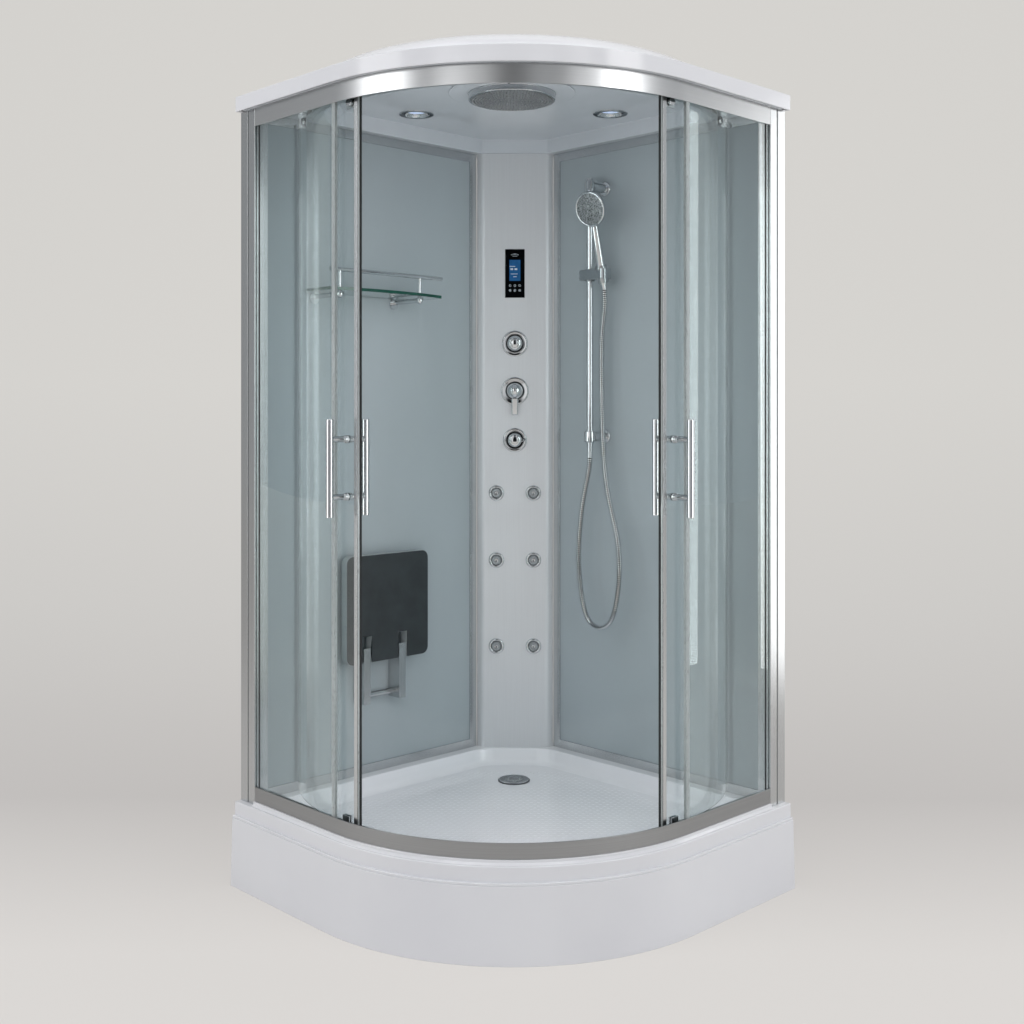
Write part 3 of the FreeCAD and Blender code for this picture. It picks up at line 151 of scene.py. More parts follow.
def patternNoise(tree, sizes, detail=3.0, roughness=0.5):
    # A noise whose grain has these sizes in millimetres along x, y and z
    spot = addNode(tree, "ShaderNodeTexCoord")
    scales = [1 / (s * mm) for s in sizes]
    scaled = addNode(tree, "ShaderNodeMapping", {"Vector": spot.outputs["Object"]}, {"Scale": scales})
    values = {"Scale": 1.0, "Detail": detail, "Roughness": roughness}
    return addNode(tree, "ShaderNodeTexNoise", {"Vector": scaled.outputs[0]}, values)


def spread(tree, source, low, high):
    limits = {"From Min": 0.3, "From Max": 0.7, "To Min": low, "To Max": high}
    return addNode(tree, "ShaderNodeMapRange", {"Value": source}, limits).outputs[0]


def shades(tree, source, dark, light):
    ramp = addNode(tree, "ShaderNodeMix", {"Factor": source}, data_type="RGBA")
    ramp.inputs["A"].default_value = linear(dark)
    ramp.inputs["B"].default_value = linear(light)
    return ramp.outputs["Result"]


def rampOf(tree, source, stops):
    ramp = addNode(tree, "ShaderNodeValToRGB", {"Fac": source})
    spots = ramp.color_ramp.elements
    while len(spots) < len(stops):
        spots.new(1.0)
    for spot, (place, shade) in zip(spots, sorted(stops.items())):
        spot.position = place
        spot.color = linear(shade)
    return ramp.outputs["Color"]


def bumpFrom(tree, shader, source, depth, strength=1.0):
    bump = addNode(tree, "ShaderNodeBump", {"Height": source}, {"Distance": depth * mm, "Strength": strength})
    tree.links.new(bump.outputs[0], shader.inputs["Normal"])


def colourFrom(tree, shader, noise, dark, light):
    colour = shades(tree, spread(tree, noise.outputs[0], 0, 1), dark, light)
    tree.links.new(colour, shader.inputs["Base Color"])


def metalMaterial(name, dark, light, roughMin, roughMax, grain, depth=0.0, metallic=1.0, **more):
    # The grain's sizes give the direction of the brushing or of the die lines
    material, tree, shader = startMaterial(name, light, roughMin, metallic, **more)
    noise = patternNoise(tree, grain, 4.0, 0.6)
    colourFrom(tree, shader, noise, dark, light)
    tree.links.new(spread(tree, noise.outputs[0], roughMin, roughMax), shader.inputs["Roughness"])
    if depth:
        bumpFrom(tree, shader, noise.outputs[0], depth)
    return material


def smoothMaterial(name, dark, light, roughMin, roughMax, grain, depth=0.0, **more):
    # Moulded, cast or painted surfaces: a slow change of colour and a fine skin
    material, tree, shader = startMaterial(name, light, roughMin, 0.0, **more)
    colourFrom(tree, shader, patternNoise(tree, grain), dark, light)
    fine = patternNoise(tree, [g / 12 for g in grain])
    tree.links.new(spread(tree, fine.outputs[0], roughMin, roughMax), shader.inputs["Roughness"])
    if depth:
        bumpFrom(tree, shader, fine.outputs[0], depth)
    return material


def glassMaterial(name, tint, shadowTint):
    # Float glass: clear, slightly green, with a mirror-smooth surface that lets the lamps' light through
    material, tree, shader = startMaterial(name, tint, 0.0, IOR=1.5, **{"Transmission Weight": 1.0})
    wave = patternNoise(tree, (260, 260, 420), 1.0)
    bumpFrom(tree, shader, wave.outputs[0], 0.25, 0.35)  # a pane is never quite flat
    path = addNode(tree, "ShaderNodeLightPath")
    clear = addNode(tree, "ShaderNodeBsdfTransparent", values={"Color": linear(shadowTint)})
    sources = {0: path.outputs["Is Shadow Ray"], 1: shader.outputs[0], 2: clear.outputs[0]}
    mix = addNode(tree, "ShaderNodeMixShader", sources)
    tree.links.new(mix.outputs[0], tree.nodes["Material Output"].inputs["Surface"])
    return material


# Vacuum-formed acrylic sheet: white and glossy, with a faint waviness
whiteAcrylic = smoothMaterial("white acrylic sheet", "#d9dadf", "#dedfe3", 0.10, 0.16, (300, 300, 300), 0.02, IOR=1.49)
# The ceiling's acrylic: the same white acrylic, painted darker as shade
shadedCeilingAcrylic = smoothMaterial(
    "white acrylic ceiling, painted darker as shade", "#bfc4ca", "#c8cdd3", 0.08, 0.14, (300, 300, 300), 0.02, IOR=1.49,
)
# Anodised aluminium extrusion, die lines upright
uprightAluminium = metalMaterial("anodised aluminium upright", "#cacccd", "#d0d2d3", 0.23, 0.25, (1.6, 1.6, 900))
# The same extrusion rolled to the front's curve, die lines level
railAluminium = metalMaterial("anodised aluminium rolled", "#cbcccd", "#d0d1d2", 0.29, 0.305, (900, 900, 1.6))
# The lower rail: the rolled anodised aluminium, painted darker as shade
shadedSillAluminium = metalMaterial("anodised aluminium sill, painted darker as shade", "#a0a1a2", "#a6a7a8", 0.29, 0.305, (900, 900, 1.6))
# Column cover brushed upright, under a lacquer that scatters half of the light
brushedColumn = metalMaterial(
    "brushed aluminium column", "#d6d8db", "#dcdee1", 0.38, 0.41, (0.9, 0.9, 180), metallic=0.5,
)
# Chrome plating on brass and on ABS: its reflection dips towards the edges
edgeTint = {"Specular Tint": linear("#6c7074")}
chrome = metalMaterial("chrome plate", "#dfe1e3", "#e9ebec", 0.045, 0.085, (60, 60, 60), **edgeTint)
# Satin nickel of the slider
satinNickel = metalMaterial("satin nickel", "#b0b4b7", "#babec1", 0.16, 0.22, (30, 30, 30))
# Satin chrome of the rain head's drum
satinChrome = metalMaterial("satin chrome plate", "#c4c6c8", "#ced0d2", 0.2, 0.26, (40, 40, 40))
# Painted shade in the grooves between the hose's ribs, where little light gets in
hoseGrooveShade = metalMaterial("shaded hose groove", "#131415", "#1b1c1e", 0.35, 0.45, (6, 6, 6))
# Toughened float glass, 5 mm
clearGlass = glassMaterial("toughened float glass", "#f4f9f9", "#f1f5f5")
# Cut and polished glass of the shelf
shelfGlass = glassMaterial("polished shelf glass", "#f0f7f5", "#e8f2ef")
# Its edge, where the eye looks along the whole width of the sheet
shelfEdge = smoothMaterial("edge of float glass", "#0f3a30", "#184a3f", 0.06, 0.12, (20, 20, 20), IOR=1.5)
# Back-painted glass of the walls: grey-green paint under a clear glossy face
paintedGlass = smoothMaterial("back-painted glass", "#969fa3", "#9ea7ac", 0.03, 0.06, (500, 500, 900), IOR=1.5)
# Clear vinyl seal
halfClear = {"IOR": 1.5, "Transmission Weight": 0.5}
vinyl = smoothMaterial("clear vinyl", "#c3cccd", "#d3dadb", 0.25, 0.4, (20, 20, 200), **halfClear)
# EPDM rubber gasket
rubber = smoothMaterial("black rubber", "#0b0c0d", "#15171a", 0.5, 0.7, (8, 8, 8), 0.05)
# Nylon of the rollers
nylon = smoothMaterial("white nylon", "#d5d4cf", "#e1e0dc", 0.4, 0.5, (10, 10, 10), 0.02)
# Touch plate of black acrylic
blackPanel = smoothMaterial("black acrylic", "#040506", "#07080a", 0.04, 0.08, (60, 60, 60), IOR=1.49)
# Silicone nozzles
nozzleGrey = smoothMaterial("grey silicone", "#84888b", "#999da0", 0.4, 0.5, (6, 6, 6), 0.03)
# Seat: slate-coloured integral foam shell and its paler edge
slate = smoothMaterial("slate seat shell", "#1f2427", "#282e31", 0.38, 0.5, (40, 40, 40), 0.04)
paleShell = smoothMaterial("pale seat edge", "#8f9699", "#a0a6a8", 0.3, 0.4, (60, 60, 60), 0.02)
# Parts behind the column and under the tray: zinc spangle, turned brass, moulded ABS
zincSteel = metalMaterial("galvanised steel", "#8f9498", "#aeb3b6", 0.35, 0.55, (14, 14, 14), 0.05)
machinedBrass = metalMaterial("machined brass", "#a98a4c", "#c7a763", 0.22, 0.34, (3, 3, 30), 0.01)
greyAbs = smoothMaterial("grey ABS", "#4c4f51", "#57595b", 0.45, 0.55, (8, 8, 8), 0.05)
# Bright-rolled stainless of the steam boiler
polishedSteel = metalMaterial("rolled stainless steel", "#a6a9ab", "#bfc2c3", 0.22, 0.3, (2, 60, 2))
# Shower faces: chromed plate broken up by fine nozzle rims, drawn coarser than they are so that they show
speckledFace = metalMaterial("pitted chrome shower face", "#0c0d0e", "#c9cdd0", 0.2, 0.45, (5, 5, 5), 0.5)
# Liquid-crystal window, faintly lit
screenGlow = {"IOR": 1.5, "Emission Color": linear("#2f6ea8"), "Emission Strength": 0.25}
screenBlue = smoothMaterial("lit blue display", "#12304f", "#1c456e", 0.08, 0.12, (18, 18, 18), **screenGlow)
# Printed marks of the touch panel
panelMark = smoothMaterial("pale print", "#aab4bd", "#c3ccd4", 0.3, 0.4, (5, 5, 5))
# Frosted lens of the ceiling lamps, bluish and faintly lit
lensGlow = {"Emission Color": linear("#c9dcff"), "Emission Strength": 0.45}
lampLens = smoothMaterial("frosted lamp lens", "#b9cbe8", "#dbe7fb", 0.2, 0.3, (8, 8, 8), 0.1, **lensGlow)


# Share of the paper's plain colour, painted shadow band included: as the camera sees it, also through glass, and as
# mirrors see it
paper = {"direct": 0.84, "mirrored": 0.4}


def sweepMaterial():
    # Matt paper: partly a plain colour with a painted shadow band across the floor behind the cabin, and for the rest
    # the real light and shadow on it
    material, tree, shader = startMaterial("studio paper with painted shadow band", "#d2d0cc", 0.9, **{"Specular IOR Level": 0.1})
    spot = addNode(tree, "ShaderNodeTexCoord")
    parts = addNode(tree, "ShaderNodeSeparateXYZ", {"Vector": spot.outputs["Object"]})
    along = addNode(tree, "ShaderNodeMath", {0: parts.outputs["Y"], 1: parts.outputs["Z"]}, operation="ADD")
    rise = addNode(tree, "ShaderNodeMapRange", {"Value": along.outputs[0]}, {"From Min": -1.0, "From Max": 7.0})
    # Painted shadow: the darker stop at 0.2 lays the cabin's soft shadow as a band across the floor behind it
    colour = rampOf(tree, rise.outputs[0], {0.06: "#dcd9d6", 0.2: "#c6c3c1", 0.5: "#d2d0cd", 0.78: "#dbd9d5"})
    glow = addNode(tree, "ShaderNodeEmission", {"Color": colour}, {"Strength": 1.0})
    tree.links.new(colour, shader.inputs["Base Color"])
    path = addNode(tree, "ShaderNodeLightPath").outputs
    seen = {0: path["Is Camera Ray"], 1: path["Is Transmission Ray"]}
    direct = addNode(tree, "ShaderNodeMath", seen, operation="MAXIMUM")
    direct = addNode(tree, "ShaderNodeMath", {0: direct.outputs[0]}, {1: paper["direct"]}, operation="MULTIPLY")
    mirrored = addNode(tree, "ShaderNodeMath", {0: path["Is Glossy Ray"]}, {1: paper["mirrored"]}, operation="MULTIPLY")
    share = addNode(tree, "ShaderNodeMath", {0: direct.outputs[0], 1: mirrored.outputs[0]}, operation="MAXIMUM")
    sources = {0: share.outputs[0], 1: shader.outputs[0], 2: glow.outputs[0]}
    mix = addNode(tree, "ShaderNodeMixShader", sources)
    tree.links.new(mix.outputs[0], tree.nodes["Material Output"].inputs["Surface"])
    return material


sweepPaper = sweepMaterial()
print("materials made")


# Mesh helpers

def newest(bm, known):
    return [v for v in bm.verts if v not in known]


def place(bm, known, matrix):
    bmesh.ops.transform(bm, matrix=matrix, verts=newest(bm, known))


def bevelEdges(bm, edges, width, segments, **more):
    bmesh.ops.bevel(
        bm, geom=edges, offset=width * mm, affect="EDGES", segments=segments, profile=0.5, material=-1, **more,
    )


def edgesOf(verts):
    return list({e for v in verts for e in v.link_edges})


def roundSharp(bm, width, segments=3, angle=30, test=None):
    # Rounds every edge sharper than the angle, or those that the test picks
    bm.normal_update()
    limit = math.radians(angle)
    edges = [e for e in bm.edges if len(e.link_faces) == 2 and e.calc_face_angle(0) > limit]
    edges = [e for e in edges if test is None or test(e)]
    if edges:
        bevelEdges(bm, edges, width, segments, clamp_overlap=True)


def finishPiece(name, bm, material, body, *replaced, slot=None, sharp=45, normals=True):
    bmesh.ops.remove_doubles(bm, verts=bm.verts, dist=1e-6)
    if normals:
        bmesh.ops.recalc_face_normals(bm, faces=bm.faces)
    mesh = bpy.data.meshes.new(name)
    bm.to_mesh(mesh)
    bm.free()
    for item in (material if isinstance(material, (list, tuple)) else [material]):
        mesh.materials.append(item)
    mesh.shade_smooth()
    mesh.set_sharp_from_angle(angle=math.radians(sharp))
    piece = bpy.data.objects.new(name, mesh)
    scene.collection.objects.link(piece)
    weigh = piece.modifiers.new("even normals", "WEIGHTED_NORMAL")
    weigh.keep_sharp = True
    weigh.weight = 80
    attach(piece, body)
    if replaced:
        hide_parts(*replaced)
    return piece


def lathe(bm, profile, matrix, steps=48, closed=False):
    # The profile is radius and height in millimetres, turned about the local z axis
    known = set(bm.verts)
    verts = [bm.verts.new((r * mm, 0, h * mm)) for r, h in profile]
    pairs = list(zip(verts, verts[1:])) + ([(verts[-1], verts[0])] if closed else [])
    edges = [bm.edges.new(pair) for pair in pairs]
    bmesh.ops.spin(bm, geom=verts + edges, cent=(0, 0, 0), axis=(0, 0, 1), angle=math.tau, steps=steps, use_merge=True)
    bmesh.ops.remove_doubles(bm, verts=newest(bm, known), dist=1e-6)
    place(bm, known, matrix)


def rodPiece(bm, radius, length, matrix, steps=32):
    known = set(bm.verts)
    sizes = {"radius1": radius * mm, "radius2": radius * mm, "depth": length * mm}
    bmesh.ops.create_cone(bm, cap_ends=True, segments=steps, **sizes)
    place(bm, known, matrix @ Matrix.Translation((0, 0, length * mm / 2)))


def block(bm, low, high, matrix=Matrix()):
    known = set(bm.verts)
    size = [(b - a) * mm for a, b in zip(low, high)]
    centre = [(a + b) / 2 * mm for a, b in zip(low, high)]
    bmesh.ops.create_cube(bm, size=1, matrix=matrix @ Matrix.Translation(centre) @ Matrix.Diagonal((*size, 1)))
    return newest(bm, known)


def trace(bm, level, moves, closed=True):
    # A wire in the corner frame: each move is a corner, or an arc about a centre by an angle in so many steps
    verts, edges = [], []
    for move in moves:
        if move[0] == "arc":
            (cx, cy), angle, steps = move[1:]
            cent = (cx * mm, cy * mm, level * mm)
            made = bmesh.ops.spin(
                bm, geom=[verts[-1]], cent=cent, axis=(0, 0, 1), angle=math.radians(angle), steps=steps,
            )
            chain = [verts[-1]]
            bm.edges.ensure_lookup_table()
            while chain[-1] is not made["geom_last"][0]:
                ahead = (e for e in chain[-1].link_edges if e not in edges)
                step = [e for e in ahead if e.other_vert(chain[-1]) not in chain]
                edges.append(step[0])
                chain.append(step[0].other_vert(chain[-1]))
            verts += chain[1:]
            continue
        verts.append(bm.verts.new((move[0] * mm, move[1] * mm, level * mm)))
        if len(verts) > 1:
            edges.append(bm.edges.new(verts[-2:]))
    if closed:
        edges.append(bm.edges.new((verts[-1], verts[0])))
    return verts, edges


def quadrant(inset, back, steps=None):
    front = plan["side"] - inset
    corner = ("arc", (straight, straight), 90, steps or plan["arcSteps"])
    return [(back, back), (front, back), (front, straight), corner, (back, front)]


def room(back, bevelAt, frontInset, grow=0):
    back, front = back - grow, plan["side"] - frontInset + grow
    bevel = (bevelAt - grow) * root2 - back
    corner = ("arc", (straight, straight), 90, plan["arcSteps"])
    return [(bevel, back), (front, back), (front, straight), corner, (back, front), (back, bevel)]


def spinBand(bm, profile, startAngle, sweep, steps=48):
    # A closed profile of radius and height, turned part of the way about the middle of the doors' arc
    known = set(bm.verts)
    verts = [bm.verts.new((r * mm, 0, h * mm)) for r, h in profile]
    face = bm.faces.new(verts)
    bmesh.ops.rotate(bm, verts=verts, cent=(0, 0, 0), matrix=Matrix.Rotation(math.radians(startAngle), 3, "Z"))
    geom = [face] + list(face.edges) + verts
    bmesh.ops.spin(bm, geom=geom, cent=(0, 0, 0), axis=(0, 0, 1), angle=math.radians(sweep), steps=steps)
    place(bm, known, arcFrame)


def frontRun(bm, profile, start=None, steps=None):
    # A closed profile of inset and height, run along the whole front: one straight, the arc, the other straight
    start = plan["railStart"] if start is None else start
    known = set(bm.verts)
    verts = [bm.verts.new(((plan["side"] - inset) * mm, start * mm, h * mm)) for inset, h in profile]
    first = bm.faces.new(verts)
    edges = list(first.edges)
    out = bmesh.ops.extrude_edge_only(bm, edges=edges)["geom"]
    ring = [g for g in out if isinstance(g, bmesh.types.BMVert)]
    bmesh.ops.translate(bm, verts=ring, vec=(0, (straight - start) * mm, 0))
    ringEdges = [g for g in out if isinstance(g, bmesh.types.BMEdge) and all(v in ring for v in g.verts)]
    spun = bmesh.ops.spin(
        bm, geom=ring + ringEdges, cent=(straight * mm, straight * mm, 0), axis=(0, 0, 1), angle=math.radians(90),
        steps=steps or plan["arcSteps"],
    )["geom_last"]
    lastEdges = [g for g in spun if isinstance(g, bmesh.types.BMEdge)]
    out = bmesh.ops.extrude_edge_only(bm, edges=lastEdges)["geom"]
    ring = [g for g in out if isinstance(g, bmesh.types.BMVert)]
    bmesh.ops.translate(bm, verts=ring, vec=(-(straight - start) * mm, 0, 0))
    ringEdges = [g for g in out if isinstance(g, bmesh.types.BMEdge) and all(v in ring for v in g.verts)]
    bmesh.ops.edgeloop_fill(bm, edges=ringEdges)
    bmesh.ops.remove_doubles(bm, verts=newest(bm, known), dist=1e-6)
    place(bm, known, cornerFrame)


def camelName(node):
    first, *rest = node.split("_")
    return first + "".join(word.title() for word in rest)


def dressed(node, material, rounding=0.5, segments=2, name=None, slot=None, sharp=45, flat=0.5):
    # A copy of a CAD node with its triangles merged and its edges rounded
    source = nodes[node]
    bm = bmesh.new()
    bm.from_mesh(source.data)
    bmesh.ops.remove_doubles(bm, verts=bm.verts, dist=2e-5)
    bmesh.ops.dissolve_limit(bm, angle_limit=math.radians(flat), verts=bm.verts, edges=bm.edges)
    if rounding:
        roundSharp(bm, rounding, segments)
    return finishPiece(
        name or camelName(node), bm, material, source["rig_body"], node, slot=slot, sharp=sharp, normals=False,
    )


print("helpers ready")


# Base: tray, apron and drain

tray = {
    "inset": 13, "under": 162, "floor": 168, "basinFront": 85, "basinBack": 70, "chamfer": 194, "draft": 14,
    "rimRound": 7, "cornerRound": 34, "floorRound": 15, "ridgeRound": 1.2, "drainBack": 370, "drainClear": 78,
    "dimpleRows": 60, "firstRow": -560, "lastRow": 300, "rowRatio": 0.8, "dimpleMargin": 62, "backMargin": 47,
    "dimpleStep": 19, "dimpleLong": 5.2, "dimpleWide": 3.2, "dimpleHigh": 0.9,
}


def basinLoops(bm):
    # The rim, the basin's mouth and its floor, with the mouth and floor joined by sloping walls
    outer = trace(bm, plan["rimTop"], quadrant(tray["inset"], 0))[1]
    mouth = trace(bm, plan["rimTop"], room(tray["basinBack"], tray["chamfer"], tray["basinFront"]))[1]
    drafted = [tray[k] + tray["draft"] for k in ("basinBack", "chamfer", "basinFront")]
    base = trace(bm, tray["floor"], room(*drafted))[1]
    return outer, mouth, base


bm = bmesh.new()
outer, mouth, base = basinLoops(bm)
bmesh.ops.triangle_fill(bm, edges=outer + mouth, use_beauty=True)
bmesh.ops.bridge_loops(bm, edges=mouth + base)
bmesh.ops.edgeloop_fill(bm, edges=base)
skirt = bmesh.ops.extrude_edge_only(bm, edges=outer)["geom"]
low = [g for g in skirt if isinstance(g, bmesh.types.BMVert)]
bmesh.ops.translate(bm, verts=low, vec=(0, 0, (tray["under"] - plan["rimTop"]) * mm))
lowEdges = [g for g in skirt if isinstance(g, bmesh.types.BMEdge) and all(v in low for v in g.verts)]
bmesh.ops.edgeloop_fill(bm, edges=lowEdges)
bmesh.ops.recalc_face_normals(bm, faces=bm.faces)
rimZ, floorZ = plan["rimTop"] * mm, tray["floor"] * mm


def between(e, a, b):
    heights = sorted(v.co.z for v in e.verts)
    return abs(heights[0] - a) < 1e-5 and abs(heights[1] - b) < 1e-5


roundSharp(bm, tray["cornerRound"], 6, 20, lambda e: between(e, floorZ, rimZ))
roundSharp(bm, tray["floorRound"], 5, 12, lambda e: between(e, floorZ, floorZ))
roundSharp(bm, tray["rimRound"], 4, 12, lambda e: between(e, rimZ, rimZ))
place(bm, set(), cornerFrame)
frontRun(bm, [(19, 209.5), (24, 214.6), (24, 220), (72, 220), (72, 209.5)])
frontRun(bm, [(6, 170), (6, 176), (16, 176), (16, 170)], 0.3)
ridges = [e for e in bm.edges if e.calc_face_angle(0) > 1.0 and e.verts[0].co.z > 0.169]
bevelEdges(bm, ridges, tray["ridgeRound"], 3, clamp_overlap=True)
finishPiece("showerTray", bm, whiteAcrylic, "cabin", "tray", sharp=40)

# Anti-slip pattern: low oval bumps in staggered rows over the basin floor
bm = bmesh.new()
step = tray["dimpleStep"]
reach = plan["cornerRadius"] - tray["basinFront"] - tray["dimpleMargin"]
backLimit = tray["basinBack"] + tray["backMargin"]
size = Matrix.Diagonal((tray["dimpleLong"] * mm, tray["dimpleWide"] * mm, tray["dimpleHigh"] * mm, 1))
for row in range(tray["dimpleRows"]):
    for spotInRow in range(tray["dimpleRows"]):
        x = (spotInRow - 29.5 + 0.5 * (row % 2)) * step
        y = tray["firstRow"] + row * step * tray["rowRatio"]
        cornerX, cornerY = (backY - y - x) / root2, (backY - y + x) / root2
        out = math.hypot(cornerX - straight, cornerY - straight)
        inFront = cornerX > straight and cornerY > straight and out > reach
        atSide = min(cornerX, cornerY) < backLimit or max(cornerX, cornerY) > straight + reach
        atDrain = math.hypot(x, y - (backY - tray["drainBack"])) < tray["drainClear"]
        if inFront or atSide or atDrain or y > tray["lastRow"]:
            continue
        known = set(bm.verts)
        bmesh.ops.create_icosphere(bm, subdivisions=1, radius=1)
        bump = Matrix.Translation((x * mm, y * mm, tray["floor"] * mm + 0.00002))
        place(bm, known, bump @ size)
finishPiece("trayDimples", bm, whiteAcrylic, "cabin", sharp=180, slot="white_acrylic")

bm = bmesh.new()
frontRun(bm, [(0, 0), (5, 170), (9, 170), (4, 0)], 0)
roundSharp(bm, 1.2, 3, 40)
finishPiece("frontApron", bm, whiteAcrylic, "cabin", "apron_panel")

drain = {"holes": 12, "holeRing": 17}
bm = bmesh.new()
drainFrame = Matrix.Translation((0, (backY - tray["drainBack"]) * mm, 0))
lathe(bm, [
    (0, 150.3), (6, 150.3), (6, 170.3), (40, 170.3), (41.5, 171), (41.2, 172.6), (38, 173.3), (31, 173.0), (30, 172.2),
    (27, 172.2), (26, 173.0), (9, 173.5), (0, 173.6),
], drainFrame, 64)
for turn in (0, 90):
    block(bm, (-31.7, -1.5, 154.3), (31.7, 1.5, 170.5), drainFrame @ Matrix.Rotation(math.radians(turn), 4, "Z"))
for i in range(drain["holes"]):
    turn = Matrix.Rotation(math.tau * i / drain["holes"], 4, "Z")
    spot = drainFrame @ turn @ Matrix.Translation((drain["holeRing"] * mm, 0, 173.1 * mm))
    lathe(bm, [(0, 0.35), (2.6, 0.35), (3.0, 0.7), (3.6, 0.5), (3.8, 0)], spot, 12)
finishPiece("drainCover", bm, chrome, "drain_cover", "drain_cover", sharp=35)
print("base made")

# Front frame: rails, track, posts, seals
bm = bmesh.new()
frontRun(bm, [
    (28, 220), (28, 256), (31, 256), (31, 223), (39.3, 223), (39.3, 240), (42, 240), (42, 223), (66, 223), (66, 240),
    (69, 240), (69, 220),
])
roundSharp(bm, 0.8, 2, 50)
# The lower rail takes the aluminium painted darker as shade
finishPiece("lowerRail", bm, shadedSillAluminium, "cabin", "lower_rail")
bm = bmesh.new()
frontRun(bm, [
    (28, 1900), (28, 1944), (75, 1944), (75, 1940), (42, 1940), (42, 1915), (39.3, 1915), (39.3, 1940), (31, 1940),
    (31, 1900),
])
roundSharp(bm, 0.9, 2, 50)
finishPiece("upperRail", bm, railAluminium, "cabin", "upper_rail")
bm = bmesh.new()
section = [(525, 1911), (542, 1911), (542, 1914), (528, 1914), (528, 1937), (545, 1937), (545, 1940), (525, 1940)]
spinBand(bm, section, 200.5, 139, 80)
roundSharp(bm, 0.6, 2, 50)
finishPiece("rollerTrack", bm, railAluminium, "cabin", "upper_track")
dressed("wall_profiles", uprightAluminium, 0.6)
dressed("corner_posts", uprightAluminium, 0.8, 3)
dressed("edge_seals", vinyl, 0.4)
dressed("front_gaskets", rubber, 0.3)
dressed("left_fixed_glass", clearGlass, 0.8)
dressed("right_fixed_glass", clearGlass, 0.8)
print("front frame made")

# Doors: curved glass and its fittings
door = {
    "inner": 547, "outer": 552, "low": 243, "high": 1932, "lead": 38.2, "first": 0.939, "last": 46.079, "handle": 4.6,
}
handle = {"bar": 8.6, "low": 948, "tall": 224, "outside": 50, "inside": 50, "standoff": 6.5, "margin": 46}
for name, away in (("left", -1), ("right", 1)):
    body = f"{name}_door"
    lead = 270 + away * door["lead"]
    first, last = lead + away * door["first"], lead + away * door["last"]
    bm = bmesh.new()
    ends = (("inner", "low"), ("outer", "low"), ("outer", "high"), ("inner", "high"))
    section = [(door[radius], door[level]) for radius, level in ends]
    spinBand(bm, section, first, last - first, 44)
    roundSharp(bm, 0.7, 2, 50)
    finishPiece(f"{name}DoorGlass", bm, clearGlass, body, f"{name}_door_glass")
    dressed(f"{name}_door_edge", uprightAluminium, 0.7, 2)
    seals = dressed(f"{name}_door_seals", [vinyl, rubber], 0.4)
    for face in seals.data.polygons:
        turn = math.degrees(math.atan2(face.center.y - arcY * mm, face.center.x)) % 360
        outwards = Vector((face.center.x, face.center.y - arcY * mm, 0)).normalized()
        leads = abs(turn - lead) < 2 and abs(face.normal.dot(outwards)) < 0.5
        face.material_index = int(leads)  # the dark magnet faces the other door
    at = lead + away * door["handle"]
    bm = bmesh.new()
    for radius in (door["outer"] + handle["outside"], door["inner"] - handle["inside"]):
        rodPiece(bm, handle["bar"], handle["tall"], radial(at, radius, handle["low"]), 40)
    roundSharp(bm, 1.6, 3, 60)
    for level in (handle["low"] + handle["margin"], handle["low"] + handle["tall"] - handle["margin"]):
        for start, way, reach in ((door["outer"], 1, handle["outside"]), (door["inner"], -1, handle["inside"])):
            across = radial(at, start, level) @ Matrix.Rotation(math.radians(90 * way), 4, "Y")
            lathe(bm, [
                (0, 0.3), (9, 0.3), (9, 2.6), (8.6, 3.2), (7.8, 3.4), (7.8, 9), (7.2, 9.6), (6.2, 9.8), (6.2, 10.6),
                (handle["standoff"], 11), (handle["standoff"], reach - 4), (0, reach - 4),
            ], across, 32)
        rodPiece(bm, 4, 6, radial(at, door["inner"] - 0.5, level) @ Matrix.Rotation(math.radians(90), 4, "Y"), 20)
    finishPiece(f"{name}DoorHandle", bm, chrome, body, f"{name}_door_handle", sharp=40)
    dressed(f"{name}_door_hangers", chrome, 0.5)
    for spot in ("lead", "tail"):
        dressed(f"{name}_{spot}_roller", nylon, 0)
print("doors made")

# Walls: painted glass in aluminium frames, and the column's cover
dressed("wall_frames", uprightAluminium, 0.7)
dressed("wall_glasses", paintedGlass, 0.5)
column = {"half": 112.7, "side": 169.4, "flat": 94, "front": 182, "back": 120, "sheet": 2, "edgeRound": 7}
bm = bmesh.new()
shape = [
    (-1, "half", "back"), (-1, "half", "side"), (-1, "flat", "front"),
    (1, "flat", "front"), (1, "half", "side"), (1, "half", "back"),
]
skin = [bm.verts.new((sign * column[x] * mm, (backY - column[y]) * mm, plan["rimTop"] * mm)) for sign, x, y in shape]
for pair in zip(skin, skin[1:]):
    bm.edges.new(pair)
raised = bmesh.ops.extrude_edge_only(bm, edges=bm.edges[:])["geom"]
tall = [g for g in raised if isinstance(g, bmesh.types.BMVert)]
bmesh.ops.translate(bm, verts=tall, vec=(0, 0, (plan["wallTop"] - plan["rimTop"]) * mm))
upright = [e for e in bm.edges if abs(e.verts[0].co.z - e.verts[1].co.z) > 1 and len(e.link_faces) == 2]
bevelEdges(bm, upright, column["edgeRound"], 5)
bmesh.ops.recalc_face_normals(bm, faces=bm.faces)
bmesh.ops.solidify(bm, geom=bm.faces[:], thickness=column["sheet"] * mm)
finishPiece("columnCover", bm, brushedColumn, "cabin", "column")
print("walls made")

